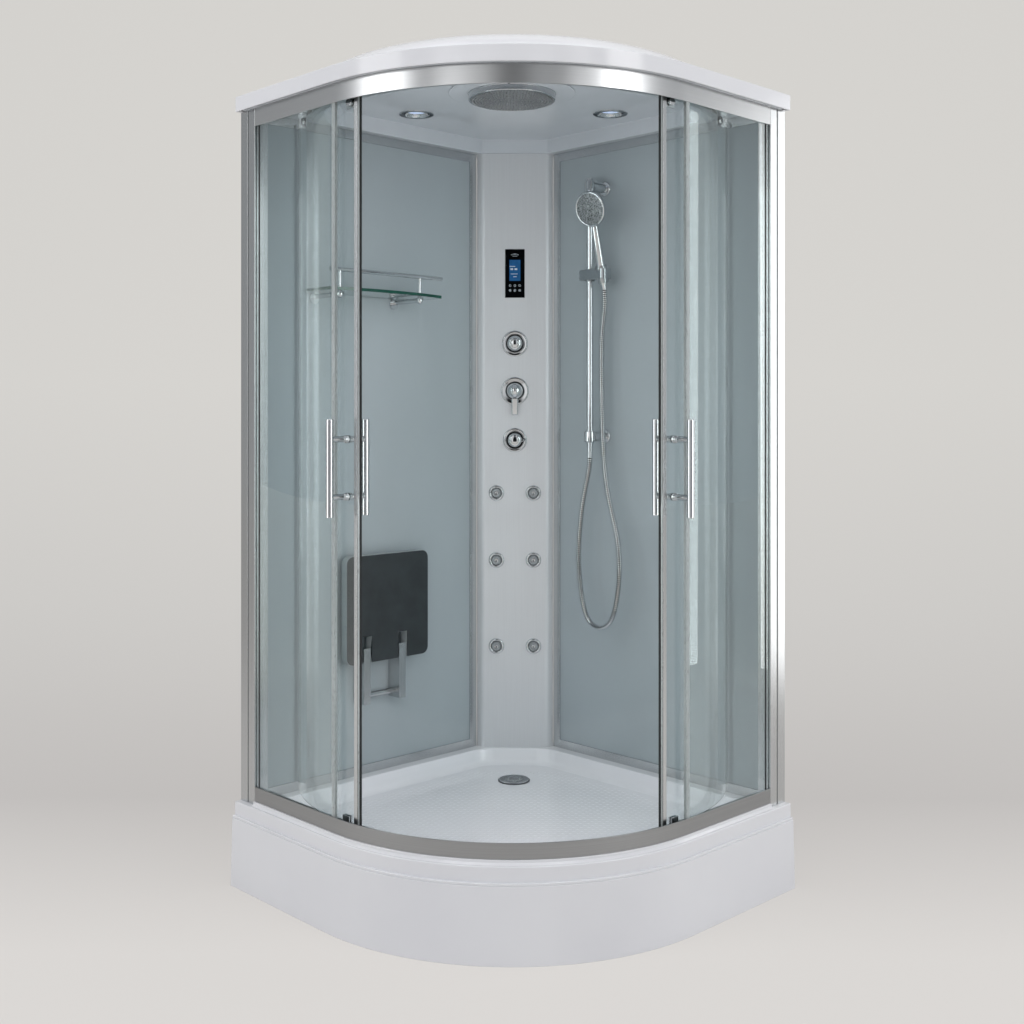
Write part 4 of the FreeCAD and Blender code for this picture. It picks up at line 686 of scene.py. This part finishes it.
# Column fittings: touch panel, knobs, lever mixer and body jets
panel = {"level": 1522, "half": 29.3, "tall": 143, "screen": (-16, 50, 16, 111)}
bm = bmesh.new()
block(bm, (-panel["half"], 0, 0.2), (panel["half"], panel["tall"], 3.0), onColumn(0, panel["level"]))
roundSharp(bm, 0.9, 3, 50)
finishPiece("controlPanelRim", bm, chrome, "cabin", "control_panel", slot="black_panel")
bm = bmesh.new()
block(bm, (1 - panel["half"], 1, 2.2), (panel["half"] - 1, panel["tall"] - 1, 4), onColumn(0, panel["level"]))
roundSharp(bm, 0.5, 2, 50)
finishPiece("controlPanelPlate", bm, blackPanel, "cabin", slot="black_panel")
left, base, right, top = panel["screen"]
bm = bmesh.new()
block(bm, (left, base, 3.5), (right, top, 4.25), onColumn(0, panel["level"]))
roundSharp(bm, 0.25, 2, 50)
finishPiece("controlPanelScreen", bm, screenBlue, "cabin", slot="black_panel")
bm = bmesh.new()
bars = [  # middle, width and height
    (-7, 92, 16, 2), (3, 84, 8, 5), (-9, 84, 8, 5), (-2, 70, 20, 1.6), (0, 62, 10, 1.6),
    (-9, 126, 5, 1.2), (0, 128, 9, 1.6), (9, 126, 5, 1.2), (0, 122, 14, 1.0),
]
for x, y, wide, tall in bars:
    block(bm, (x - wide / 2, y - tall / 2, 3.8), (x + wide / 2, y + tall / 2, 4.35), onColumn(0, panel["level"]))
for row, y in enumerate((36, 22)):
    for x in (-14, 0, 14):
        lathe(bm, [(2.4, 3.8), (3.4, 3.8), (3.4, 4.3), (2.4, 4.3)], onColumn(x, panel["level"] + y), 20, True)
        if row:
            lathe(bm, [(0, 3.8), (1.1, 3.8), (1.1, 4.3), (0, 4.3)], onColumn(x, panel["level"] + y), 12)
finishPiece("controlPanelMarks", bm, panelMark, "cabin", slot="black_panel")

plates = {1389: 38, 1250.6: 41, 1107.5: 35}  # level and radius of each round plate
bm = bmesh.new()
for level, radius in plates.items():
    lathe(bm, [
        (10, 0.2), (radius, 0.2), (radius, 1.6), (radius - 0.9, 3.1), (radius - 2.8, 4), (radius - 5, 4),
        (radius - 8, 3.3),
        (27.5, 3.2), (26, 2.4), (10, 2.4),
    ], onColumn(0, level), 80, True)
finishPiece("knobPlates", bm, chrome, "cabin", "knob_plates", sharp=40)
bm = bmesh.new()
for level in plates:
    lathe(bm, [(22.8, 2.5), (25.6, 2.5), (25.6, 3.4), (22.8, 3.4)], onColumn(0, level), 64, True)
finishPiece("knobPlateSeals", bm, rubber, "cabin", sharp=40, slot="black_rubber")
bm = bmesh.new()
lathe(bm, [
    (0, -16), (6, -16), (6, 4.4), (20.6, 4.4), (22, 5.8), (22, 22), (21.7, 25), (20.8, 27.6), (19.2, 29.8), (17, 31.4),
    (14.4, 32.6),
    (13, 32.7), (12.4, 32.2), (11.8, 32.8), (8, 33.8), (4, 34.2), (0, 34.3),
], onColumn(0, 1389), 64)
finishPiece("diverterKnob", bm, chrome, "diverter_knob", "diverter_knob", sharp=40)
bm = bmesh.new()
lathe(bm, [
    (0, -16), (6, -16), (6, 4.4), (18.6, 4.4), (20, 5.8), (20, 22), (19.7, 25), (18.6, 27.8), (16.8, 29.8),
    (14.4, 31.2), (11, 31.9),
    (10.2, 31.4), (9.4, 31.9), (5, 32.2), (0, 32.3),
], onColumn(0, 1107.5), 64)
known = set(bm.verts)
ear = bm.faces.new([bm.verts.new((x * mm, y * mm, 7.3 * mm)) for x, y in ((4, -7), (27, -3), (27, 3), (4, 7))])
raised = bmesh.ops.extrude_face_region(bm, geom=[ear])["geom"]
bmesh.ops.translate(bm, verts=[v for v in raised if isinstance(v, bmesh.types.BMVert)], vec=(0, 0, 17 * mm))
fresh = newest(bm, known)
bmesh.ops.recalc_face_normals(bm, faces=list({f for v in fresh for f in v.link_faces}))
bevelEdges(bm, edgesOf(fresh), 1.8, 4)
place(bm, known, onColumn(0, 1107.5))
finishPiece("flowKnob", bm, chrome, "flow_knob", "flow_knob", sharp=40)


def ballPoints(radius, centre, start, end, steps=14):
    # Radius and height along a ball's outline, from one angle above its equator to another
    angles = [math.radians(start + (end - start) * i / steps) for i in range(steps + 1)]
    return [(max(radius * math.cos(a), 0), centre + radius * math.sin(a)) for a in angles]


mixer = {
    "level": 1250.6, "ball": 18, "cap": 24, "out": 20, "capFrom": 14, "gap": 0.35,
    "lever": ((-9, -70, 17), (9, -20.3, 30)), "leverSlope": 7, "leverRound": 3.2,
}
bm = bmesh.new()
neck = math.degrees(math.acos(12 / mixer["ball"]))
stem = [(0, -16), (6, -16), (6, 4.4), (21.2, 4.4), (22, 5), (21.6, 5.8), (12.4, 5.9), (12, 6.3)]
lathe(bm, stem + ballPoints(mixer["ball"], mixer["out"], -neck, 90), onColumn(0, mixer["level"]), 64)
finishPiece("mixerHub", bm, chrome, "mixer_hub", "mixer_hub", sharp=40)
bm = bmesh.new()
drop = mixer["out"] - mixer["capFrom"]
inside = mixer["ball"] + mixer["gap"]
outerCap = ballPoints(mixer["cap"], mixer["out"], -math.degrees(math.asin(drop / mixer["cap"])), 90)
innerCap = ballPoints(inside, mixer["out"], 90, -math.degrees(math.asin(drop / inside)))
lathe(bm, innerCap + outerCap[:1] + outerCap, onColumn(0, mixer["level"]), 64)
known = set(bm.verts)
block(bm, *mixer["lever"], onColumn(0, mixer["level"]))
tip = sorted(newest(bm, known), key=lambda v: v.co.z)[:4]
bmesh.ops.translate(bm, vec=(0, mixer["leverSlope"] * mm, 0), verts=sorted(tip, key=lambda v: v.co.y)[:2])
bevelEdges(bm, edgesOf(newest(bm, known)), mixer["leverRound"], 5)
finishPiece("mixerLever", bm, chrome, "mixer_lever", "mixer_lever", sharp=40)

jets = {"high": 952.7, "middle": 757, "low": 505.8, "across": 54}
bm = bmesh.new()
for spot in ("high", "middle", "low"):
    for way in (-1, 1):
        lathe(bm, [
            (14.3, -15), (17.2, -15), (17.2, 0.2), (22.6, 0.2), (23, 0.9), (22.6, 2.0), (21.2, 3.9), (19.8, 4.8),
            (18.2, 5), (16.6, 4.6),
            (15.2, 3.4), (14.3, 2.2),
        ], onColumn(way * jets["across"], jets[spot]), 56, True)
finishPiece("jetHousings", bm, chrome, "cabin", "jet_housings", sharp=40)
for spot in ("high", "middle", "low"):
    for side, way in (("left", -1), ("right", 1)):
        node = f"jet_nozzle_{spot}_{side}"
        spotFrame = onColumn(way * jets["across"], jets[spot])
        bm = bmesh.new()
        lathe(bm, ballPoints(14, 0, -90, 30) + [(11.2, 6.4), (9.6, 5.2), (8, 5.2), (6.2, 6.2), (0, 6.2)], spotFrame, 40)
        finishPiece(f"jetBall{spot.title()}{side.title()}", bm, nozzleGrey, node, node, sharp=40)
        bm = bmesh.new()
        lathe(bm, [(2, 4.5), (6, 6.1), (5.9, 8.0), (5.2, 8.9), (4.4, 9), (2.6, 8.6), (2, 7.6)], spotFrame, 32, True)
        finishPiece(f"jetTip{spot.title()}{side.title()}", bm, chrome, node, sharp=40, slot="chrome")
print("column fittings made")


def nozzles(bm, matrix, radius, rings, width, high):
    # Short rubber teats in rings over a shower face
    for ring in range(rings + 1):
        count = max(6 * ring, 1)
        for i in range(count):
            turn = Matrix.Rotation(math.tau * (i + 0.5 * (ring % 2)) / count, 4, "Z")
            spot = matrix @ turn @ Matrix.Translation((radius * mm * ring / rings, 0, high * mm / 2))
            sizes = {"radius1": width * mm, "radius2": width * 0.6 * mm, "depth": high * mm}
            bmesh.ops.create_cone(bm, cap_ends=True, segments=6, matrix=spot, **sizes)


# Ceiling: dished panel with the rain head and two lamps
# The ceiling panel and the rain plate take the white acrylic painted darker as shade
dressed("ceiling_panel", shadedCeilingAcrylic, 2.5, 4)
ceiling = {"level": 1985, "rainBack": -134.157, "lampAcross": 259, "lampBack": 86.84}
rainFrame = downFrom(0, ceiling["rainBack"], ceiling["level"])
bm = bmesh.new()
lathe(bm, [(0, 0.3), (156, 0.3), (158, 1.2), (157.5, 3), (155, 4), (0, 4)], rainFrame, 128)
finishPiece("rainPlate", bm, shadedCeilingAcrylic, "cabin", sharp=40, slot="white_acrylic")
bm = bmesh.new()
lathe(bm, [
    (0, 3.8), (110.5, 3.8), (109, 4.8), (108.5, 6), (108.5, 17), (107.6, 18.9), (105.6, 19.9), (103.4, 19.6),
    (102.6, 18.6), (0, 18.6),
], rainFrame, 128)
finishPiece("rainHead", bm, satinChrome, "cabin", "rain_head", sharp=40)
bm = bmesh.new()
lathe(bm, [(0, 18.65), (102.4, 18.65), (102.4, 18.8), (0, 18.8)], rainFrame, 96)
finishPiece("rainFace", bm, speckledFace, "cabin", sharp=40, slot="chrome")
bm = bmesh.new()
nozzles(bm, rainFrame @ Matrix.Translation((0, 0, 18.7 * mm)), 98, 13, 2.5, 3.4)
finishPiece("rainNozzles", bm, nozzleGrey, "cabin", sharp=180, slot="grey_plastic")
for side, way in (("left", -1), ("right", 1)):
    lampFrame = downFrom(way * ceiling["lampAcross"], ceiling["lampBack"], ceiling["level"])
    bm = bmesh.new()
    lathe(bm, [
        (25.6, -20), (32.4, -20), (32.4, 0.3), (45.2, 0.3), (46, 0.9), (45.4, 1.9), (42, 2.8), (37, 3), (33.5, 2.2),
        (31, -1), (27.5, -5.4), (25.6, -6.6),
    ], lampFrame, 80, True)
    finishPiece(
        f"{side}LampRing", bm, chrome, "cabin", *(["downlights"] if side == "left" else []), sharp=40, slot="chrome",
    )
    bm = bmesh.new()
    lathe(bm, [(0, -17), (25.3, -17), (25.3, -6.8), (21, -5.9), (12, -4.9), (0, -4.4)], lampFrame, 64)
    finishPiece(f"{side}LampLens", bm, lampLens, "cabin", sharp=40, slot="white_nylon")
dressed("roof_cover", whiteAcrylic, 3, 4)
print("ceiling and roof made")

# Riser on the right wall, its slider, the hand shower and the ribbed hose
riser = {"along": 399, "out": 100, "low": 1111, "long": 729, "wall": 36.3, "brackets": (1817, 1121)}
upward = Matrix.Rotation(math.radians(-90), 4, "X")


def onRight(along, up, out):
    return rightWall @ Matrix.Translation((along * mm, up * mm, out * mm))


bm = bmesh.new()
riserFrame = onRight(riser["along"], riser["low"], riser["out"]) @ upward
lathe(bm, [
    (0, 0), (8, 0), (9, 1), (9, riser["long"] - 3), (8, riser["long"] - 0.8), (5, riser["long"]), (0, riser["long"]),
], riserFrame, 48)
for level in riser["brackets"]:
    foot = onRight(riser["along"], level, riser["wall"])
    reach = riser["out"] - riser["wall"]
    lathe(bm, [
        (0, 0), (19.4, 0), (20, 0.8), (19.8, 3.4), (18.2, 5.2), (15.6, 6), (13, 6.2), (12, 7.2), (12, reach - 2),
        (0, reach - 2),
    ], foot, 48)
    collar = onRight(riser["along"], level - 14, riser["out"]) @ upward
    lathe(bm, [(9.1, 0), (12, 0), (13.4, 1.4), (13.4, 26.6), (12, 28), (9.1, 28)], collar, 48, True)
outlet = onRight(riser["along"], 1078, riser["out"]) @ upward
lathe(bm, [
    (5.6, 0), (7.6, 0), (8, 0.6), (8, 27), (14, 28), (16, 30), (16, 55), (14.6, 57.4), (9.4, 58), (5.6, 58),
], outlet, 48, True)
finishPiece("riserRail", bm, chrome, "cabin", "riser_rail", sharp=40)

handPlace = {
    "along": 449, "level": 1569, "out": 106, "reach": 180, "forward": 5,
    "way": (6, 143, 40), "face": (0.095, -0.276, 0.955),
}
handleWay = Vector(handPlace["way"]).normalized()
faceWay = Vector(handPlace["face"]).normalized()
handleTurn = Vector((0, 0, 1)).rotation_difference(handleWay).to_matrix().to_4x4()
faceTurn = Vector((0, 0, 1)).rotation_difference(faceWay).to_matrix().to_4x4()
holder = Vector([handPlace[k] for k in ("along", "level", "out")])
handleFrame = onRight(*holder) @ handleTurn
headSpot = holder + handleWay * handPlace["reach"]
headFrame = onRight(*(headSpot + faceWay * handPlace["forward"])) @ faceTurn
slider = {"low": 1555, "tall": 28, "from": 372, "to": 470, "outFrom": 84, "outTo": 124, "round": 13}
bm = bmesh.new()
known = set(bm.verts)
sliderHigh = slider["low"] + slider["tall"]
block(bm, (slider["from"], slider["low"], slider["outFrom"]), (slider["to"], sliderHigh, slider["outTo"]), rightWall)
upright = [e for e in bm.edges if abs(e.verts[0].co.z - e.verts[1].co.z) > 0.02]
bevelEdges(bm, upright, slider["round"], 8)
roundSharp(bm, 1.6, 3, 60)
for level in (-3, slider["tall"] - 1):
    collar = onRight(riser["along"], slider["low"] + level, riser["out"]) @ upward
    lathe(bm, [(9.2, 0), (12.6, 0), (13.4, 0.8), (13.4, 3.2), (12.6, 4), (9.2, 4)], collar, 40, True)
lathe(bm, [(12.2, -24), (15, -24), (16, -22.6), (16, 22.6), (15, 24), (12.2, 24)], handleFrame, 48, True)
finishPiece("railSlider", bm, satinNickel, "slider", "rail_slider", sharp=40)
bm = bmesh.new()
lathe(bm, [
    (0, -30), (9.2, -30), (10, -29), (10, -15), (10.6, -13.6), (12, -4), (12, 40), (11.2, 80), (10.2, 112), (9.2, 130),
    (8, 144), (6, 150), (0, 152),
], handleFrame, 48)
lathe(bm, [
    (0, -18), (14, -18), (26, -16.4), (37, -12.2), (44, -6.4), (47.4, -1.5), (48, 1.6), (48, 4.6), (47.2, 7), (45.4, 8),
    (43.6, 7.7), (42.8, 7), (0, 7),
], headFrame, 80)
finishPiece("handShower", bm, chrome, "slider", "hand_shower", sharp=40)
bm = bmesh.new()
lathe(bm, [(0, 7.05), (42.6, 7.05), (42.6, 7.5), (40, 7.8), (0, 7.8)], headFrame, 64)
finishPiece("handShowerFace", bm, speckledFace, "slider", sharp=40, slot="chrome")
bm = bmesh.new()
nozzles(bm, headFrame @ Matrix.Translation((0, 0, 7.7 * mm)), 38, 7, 1.8, 1.6)
finishPiece("handShowerNozzles", bm, nozzleGrey, "slider", sharp=180, slot="grey_plastic")

# Ribbed metal hose, 14 mm: from the hand shower down beside the rail, round its loop and up into the outlet
hose = {"top": 7, "valley": 5.7, "bore": 5, "ribs": 260, "plain": 14, "sides": 20, "length": 1.512}
hoseStart = Vector((447.8, 1540.1, 97.9))
hoseRoute = [tuple(hoseStart), tuple(hoseStart - 45 * handleWay)] + [
    (432, 1410, 88), (432, 1300, 89), (436, 1180, 91), (442, 1080, 93), (456, 985, 96), (478, 915, 99), (500, 855, 102),
    (512, 785, 104), (509, 705, 105), (491, 627, 106), (459, 595, 106), (415, 595, 106), (383, 627, 105),
    (365, 705, 104),
    (358, 785, 103), (362, 865, 102), (371, 930, 101), (385, 990, 100), (399, 1040, 100), (399, 1078, 100),
]
route = bpy.data.curves.new("hoseRoute", "CURVE")
route.dimensions = "3D"
route.resolution_u = 20
line = route.splines.new("NURBS")
line.points.add(len(hoseRoute) - 1)
for point, spot in zip(line.points, hoseRoute):
    point.co = (*(rightWall @ (Vector(spot) * mm)), 1)
line.order_u = 3
line.use_endpoint_u = True
routeObject = bpy.data.objects.new("hoseRoute", route)
routeMesh = bpy.data.meshes.new_from_object(routeObject)
hosePath = [v.co.copy() for v in routeMesh.vertices]
bpy.data.objects.remove(routeObject)
bpy.data.meshes.remove(routeMesh)
lengths = [0]
for a, b in zip(hosePath, hosePath[1:]):
    lengths.append(lengths[-1] + (b - a).length)


def alongHose(distance):
    # The point of the route at this length from its start, and its direction there
    last = len(lengths) - 1
    i = next((k for k in range(1, last + 1) if lengths[k] >= distance), last)
    part = (distance - lengths[i - 1]) / (lengths[i] - lengths[i - 1])
    before = hosePath[i] - hosePath[i - 1]
    after = hosePath[min(i + 1, last)] - hosePath[min(i, last - 1)]
    return hosePath[i - 1].lerp(hosePath[i], part), before.normalized().lerp(after.normalized(), part).normalized()


whole = lengths[-1]
plain = hose["plain"] * mm
pitch = (whole - 2 * plain) / hose["ribs"]
stations = [(0, hose["bore"]), (0, hose["top"]), (plain, hose["top"])]
ribShape = ((0.08, "valley"), (0.42, "valley"), (0.52, "top"), (0.98, "top"))  # share of the pitch and radius
for rib in range(hose["ribs"]):
    stations += [(plain + (rib + share) * pitch, hose[size]) for share, size in ribShape]
stations += [(whole - plain, hose["top"]), (whole, hose["top"]), (whole, hose["bore"])]
bm = bmesh.new()
spot, way = alongHose(0)
turn = Vector((0, 0, 1)).rotation_difference(way)
ring = bmesh.ops.create_circle(bm, segments=hose["sides"], radius=1)["verts"]
ringEdges = bm.edges[:]
at, lastRadius = Matrix(), None
for distance, radius in stations:
    spot, heading = alongHose(distance)
    turn = way.rotation_difference(heading) @ turn
    way = heading
    then = Matrix.Translation(spot) @ turn.to_matrix().to_4x4() @ Matrix.Diagonal((radius * mm, radius * mm, 1, 1))
    if lastRadius is not None:
        out = bmesh.ops.extrude_edge_only(bm, edges=ringEdges)["geom"]
        for face in (g for g in out if isinstance(g, bmesh.types.BMFace)):
            # faces between two valley rings take the painted shade of the grooves
            face.material_index = int(radius == lastRadius == hose["valley"])
        ring = [g for g in out if isinstance(g, bmesh.types.BMVert)]
        fresh = set(ring)
        ringEdges = [g for g in out if isinstance(g, bmesh.types.BMEdge) and all(v in fresh for v in g.verts)]
    bmesh.ops.transform(bm, matrix=then @ at.inverted(), verts=ring)
    at, lastRadius = then, radius
ends = [e for e in bm.edges if e.is_boundary]
bmesh.ops.holes_fill(bm, edges=ends, sides=hose["sides"])
bmesh.ops.recalc_face_normals(bm, faces=bm.faces)
mesh = bpy.data.meshes.new("showerHose")
bm.to_mesh(mesh)
bm.free()
mesh.materials.append(chrome)
mesh.materials.append(hoseGrooveShade)
mesh.shade_smooth()
mesh.set_sharp_from_angle(angle=math.radians(60))
showerHose = bpy.data.objects.new("showerHose", mesh)
scene.collection.objects.link(showerHose)
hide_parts("shower_hose")
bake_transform(showerHose)
print("riser, hand shower and hose made")

# Shelf and seat on the left wall
shelf = dressed("shelf_glass", [shelfGlass, shelfEdge], 0.9, 3)
for face in shelf.data.polygons:
    face.material_index = int(abs(face.normal.z) < 0.6)
dressed("shelf_gallery", chrome, 0.4, 2)
seat = {"padFrom": 79, "round": 3}
board = dressed("seat_board", [paleShell, slate], seat["round"], 4)
onWall = leftWall.inverted()
for face in board.data.polygons:
    face.material_index = int((onWall @ face.center).z > seat["padFrom"] * mm)
dressed("seat_bracket", uprightAluminium, 0.8, 3)
print("shelf and seat made")

# Hidden parts under the tray and behind the column keep their CAD shapes
carried = {
    "tray_frame": zincSteel, "levelling_feet": greyAbs, "waste_trap": greyAbs, "control_box": greyAbs,
    "water_valves": machinedBrass, "steam_boiler": polishedSteel,
}
for name, material in carried.items():
    for materialSlot in nodes[name].material_slots:
        materialSlot.material = material

# Camera at the photograph's place
view = {"spot": (0.0501, -3.2743, 1.1852), "turn": 0.013, "lens": 44.24, "shift": (-0.0036, -0.0963)}
camera = bpy.data.objects.new("photoCamera", bpy.data.cameras.new("photoCamera"))
camera.location = view["spot"]
camera.rotation_euler = (math.radians(90), 0, view["turn"])
camera.data.lens = view["lens"]
camera.data.sensor_width = 36
camera.data.shift_x, camera.data.shift_y = view["shift"]
scene.collection.objects.link(camera)
scene.camera = camera

# Pale studio sweep: floor, curve and wall in one sheet
studio = {"near": -9, "far": 4.2, "wide": 14, "tall": 9, "curve": 2.6}
bm = bmesh.new()
section = ((studio["near"], 0), (studio["far"], 0), (studio["far"], studio["tall"]))
corners = [bm.verts.new((-studio["wide"], y, z)) for y, z in section]
edges = [bm.edges.new(pair) for pair in zip(corners, corners[1:])]
wide = bmesh.ops.extrude_edge_only(bm, edges=edges)["geom"]
otherSide = [v for v in wide if isinstance(v, bmesh.types.BMVert)]
bmesh.ops.translate(bm, verts=otherSide, vec=(2 * studio["wide"], 0, 0))
fold = [e for e in bm.edges if len(e.link_faces) == 2]
bevelEdges(bm, fold, studio["curve"] / mm, 24)
bmesh.ops.recalc_face_normals(bm, faces=bm.faces)
mesh = bpy.data.meshes.new("studioSweep")
bm.to_mesh(mesh)
bm.free()
mesh.shade_smooth()
mesh.materials.append(sweepPaper)
sweep = bpy.data.objects.new("studioSweep", mesh)
scene.collection.objects.link(sweep)
sweep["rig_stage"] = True

# Softboxes out of the camera's sight: place, aim, width, height and power
lamps = {
    "overhead": ((0, -0.8, 4.4), (0, -0.1, 1.0), 3.4, 2.6, 62),
    "leftStrip": ((-3.2, -1.8, 1.9), (0, -0.2, 1.1), 1.4, 3.4, 44),
    "rightStrip": ((3.3, -2.6, 1.9), (0, -0.2, 1.1), 1.2, 3.4, 50),
    "rightEdge": ((3.2, 0.55, 1.3), (0.7, 0, 1.1), 0.5, 2.6, 12),
    "leftFront": ((-2.6, -4.8, 2.4), (0, 0.2, 1.1), 1.2, 2.4, 14),
    "rightFront": ((2.9, -4.8, 2.4), (0, 0.2, 1.1), 0.9, 2.4, 8),
    "insideFill": ((0, -0.4, 1.15), (0, 0.6, 1.05), 0.7, 1.5, 3.5),
}
for name, (spot, aim, across, tall, power) in lamps.items():
    light = bpy.data.lights.new(name, "AREA")
    light.shape = "RECTANGLE"
    light.size, light.size_y = across, tall
    light.energy = power
    lamp = bpy.data.objects.new(name, light)
    lamp.location = spot
    lamp.rotation_euler = (Vector(aim) - Vector(spot)).to_track_quat("-Z", "Y").to_euler()
    lamp.visible_camera = False
    lamp.visible_glossy = name != "insideFill"
    scene.collection.objects.link(lamp)

# Even light all round; polished metal sees a darker studio with a few bright panels
world = bpy.data.worlds.new("studio")
scene.world = world
world.use_nodes = True
tree = world.node_tree
ambient = tree.nodes["Background"]
surround = {"ambient": 0.5, "panels": 0.9}
ambient.inputs["Color"].default_value = linear("#e9eaec")
ambient.inputs["Strength"].default_value = surround["ambient"]
way = addNode(tree, "ShaderNodeTexCoord")
parts = addNode(tree, "ShaderNodeSeparateXYZ", {"Vector": way.outputs["Generated"]})
across = addNode(tree, "ShaderNodeMapRange", {"Value": parts.outputs["X"]}, {"From Min": -1.0, "From Max": 1.0})
panels = rampOf(tree, across.outputs[0], {
    0.0: "#a2a5a8", 0.1: "#8a8d90", 0.28: "#3c3e41", 0.33: "#eeeff0", 0.41: "#eeeff0", 0.445: "#1d1f21",
    0.555: "#1d1f21", 0.59: "#d5d7d9", 0.64: "#d5d7d9", 0.69: "#3c3e41", 0.82: "#909396", 1.0: "#c4c6c8",
})
mirrored = addNode(tree, "ShaderNodeBackground", {"Color": panels}, {"Strength": surround["panels"]})
path = addNode(tree, "ShaderNodeLightPath")
sources = {0: path.outputs["Is Glossy Ray"], 1: ambient.outputs[0], 2: mirrored.outputs[0]}
choice = addNode(tree, "ShaderNodeMixShader", sources)
tree.links.new(choice.outputs[0], tree.nodes["World Output"].inputs["Surface"])
scene.view_settings.view_transform = "Standard"

low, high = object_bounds()
print("scene ready")
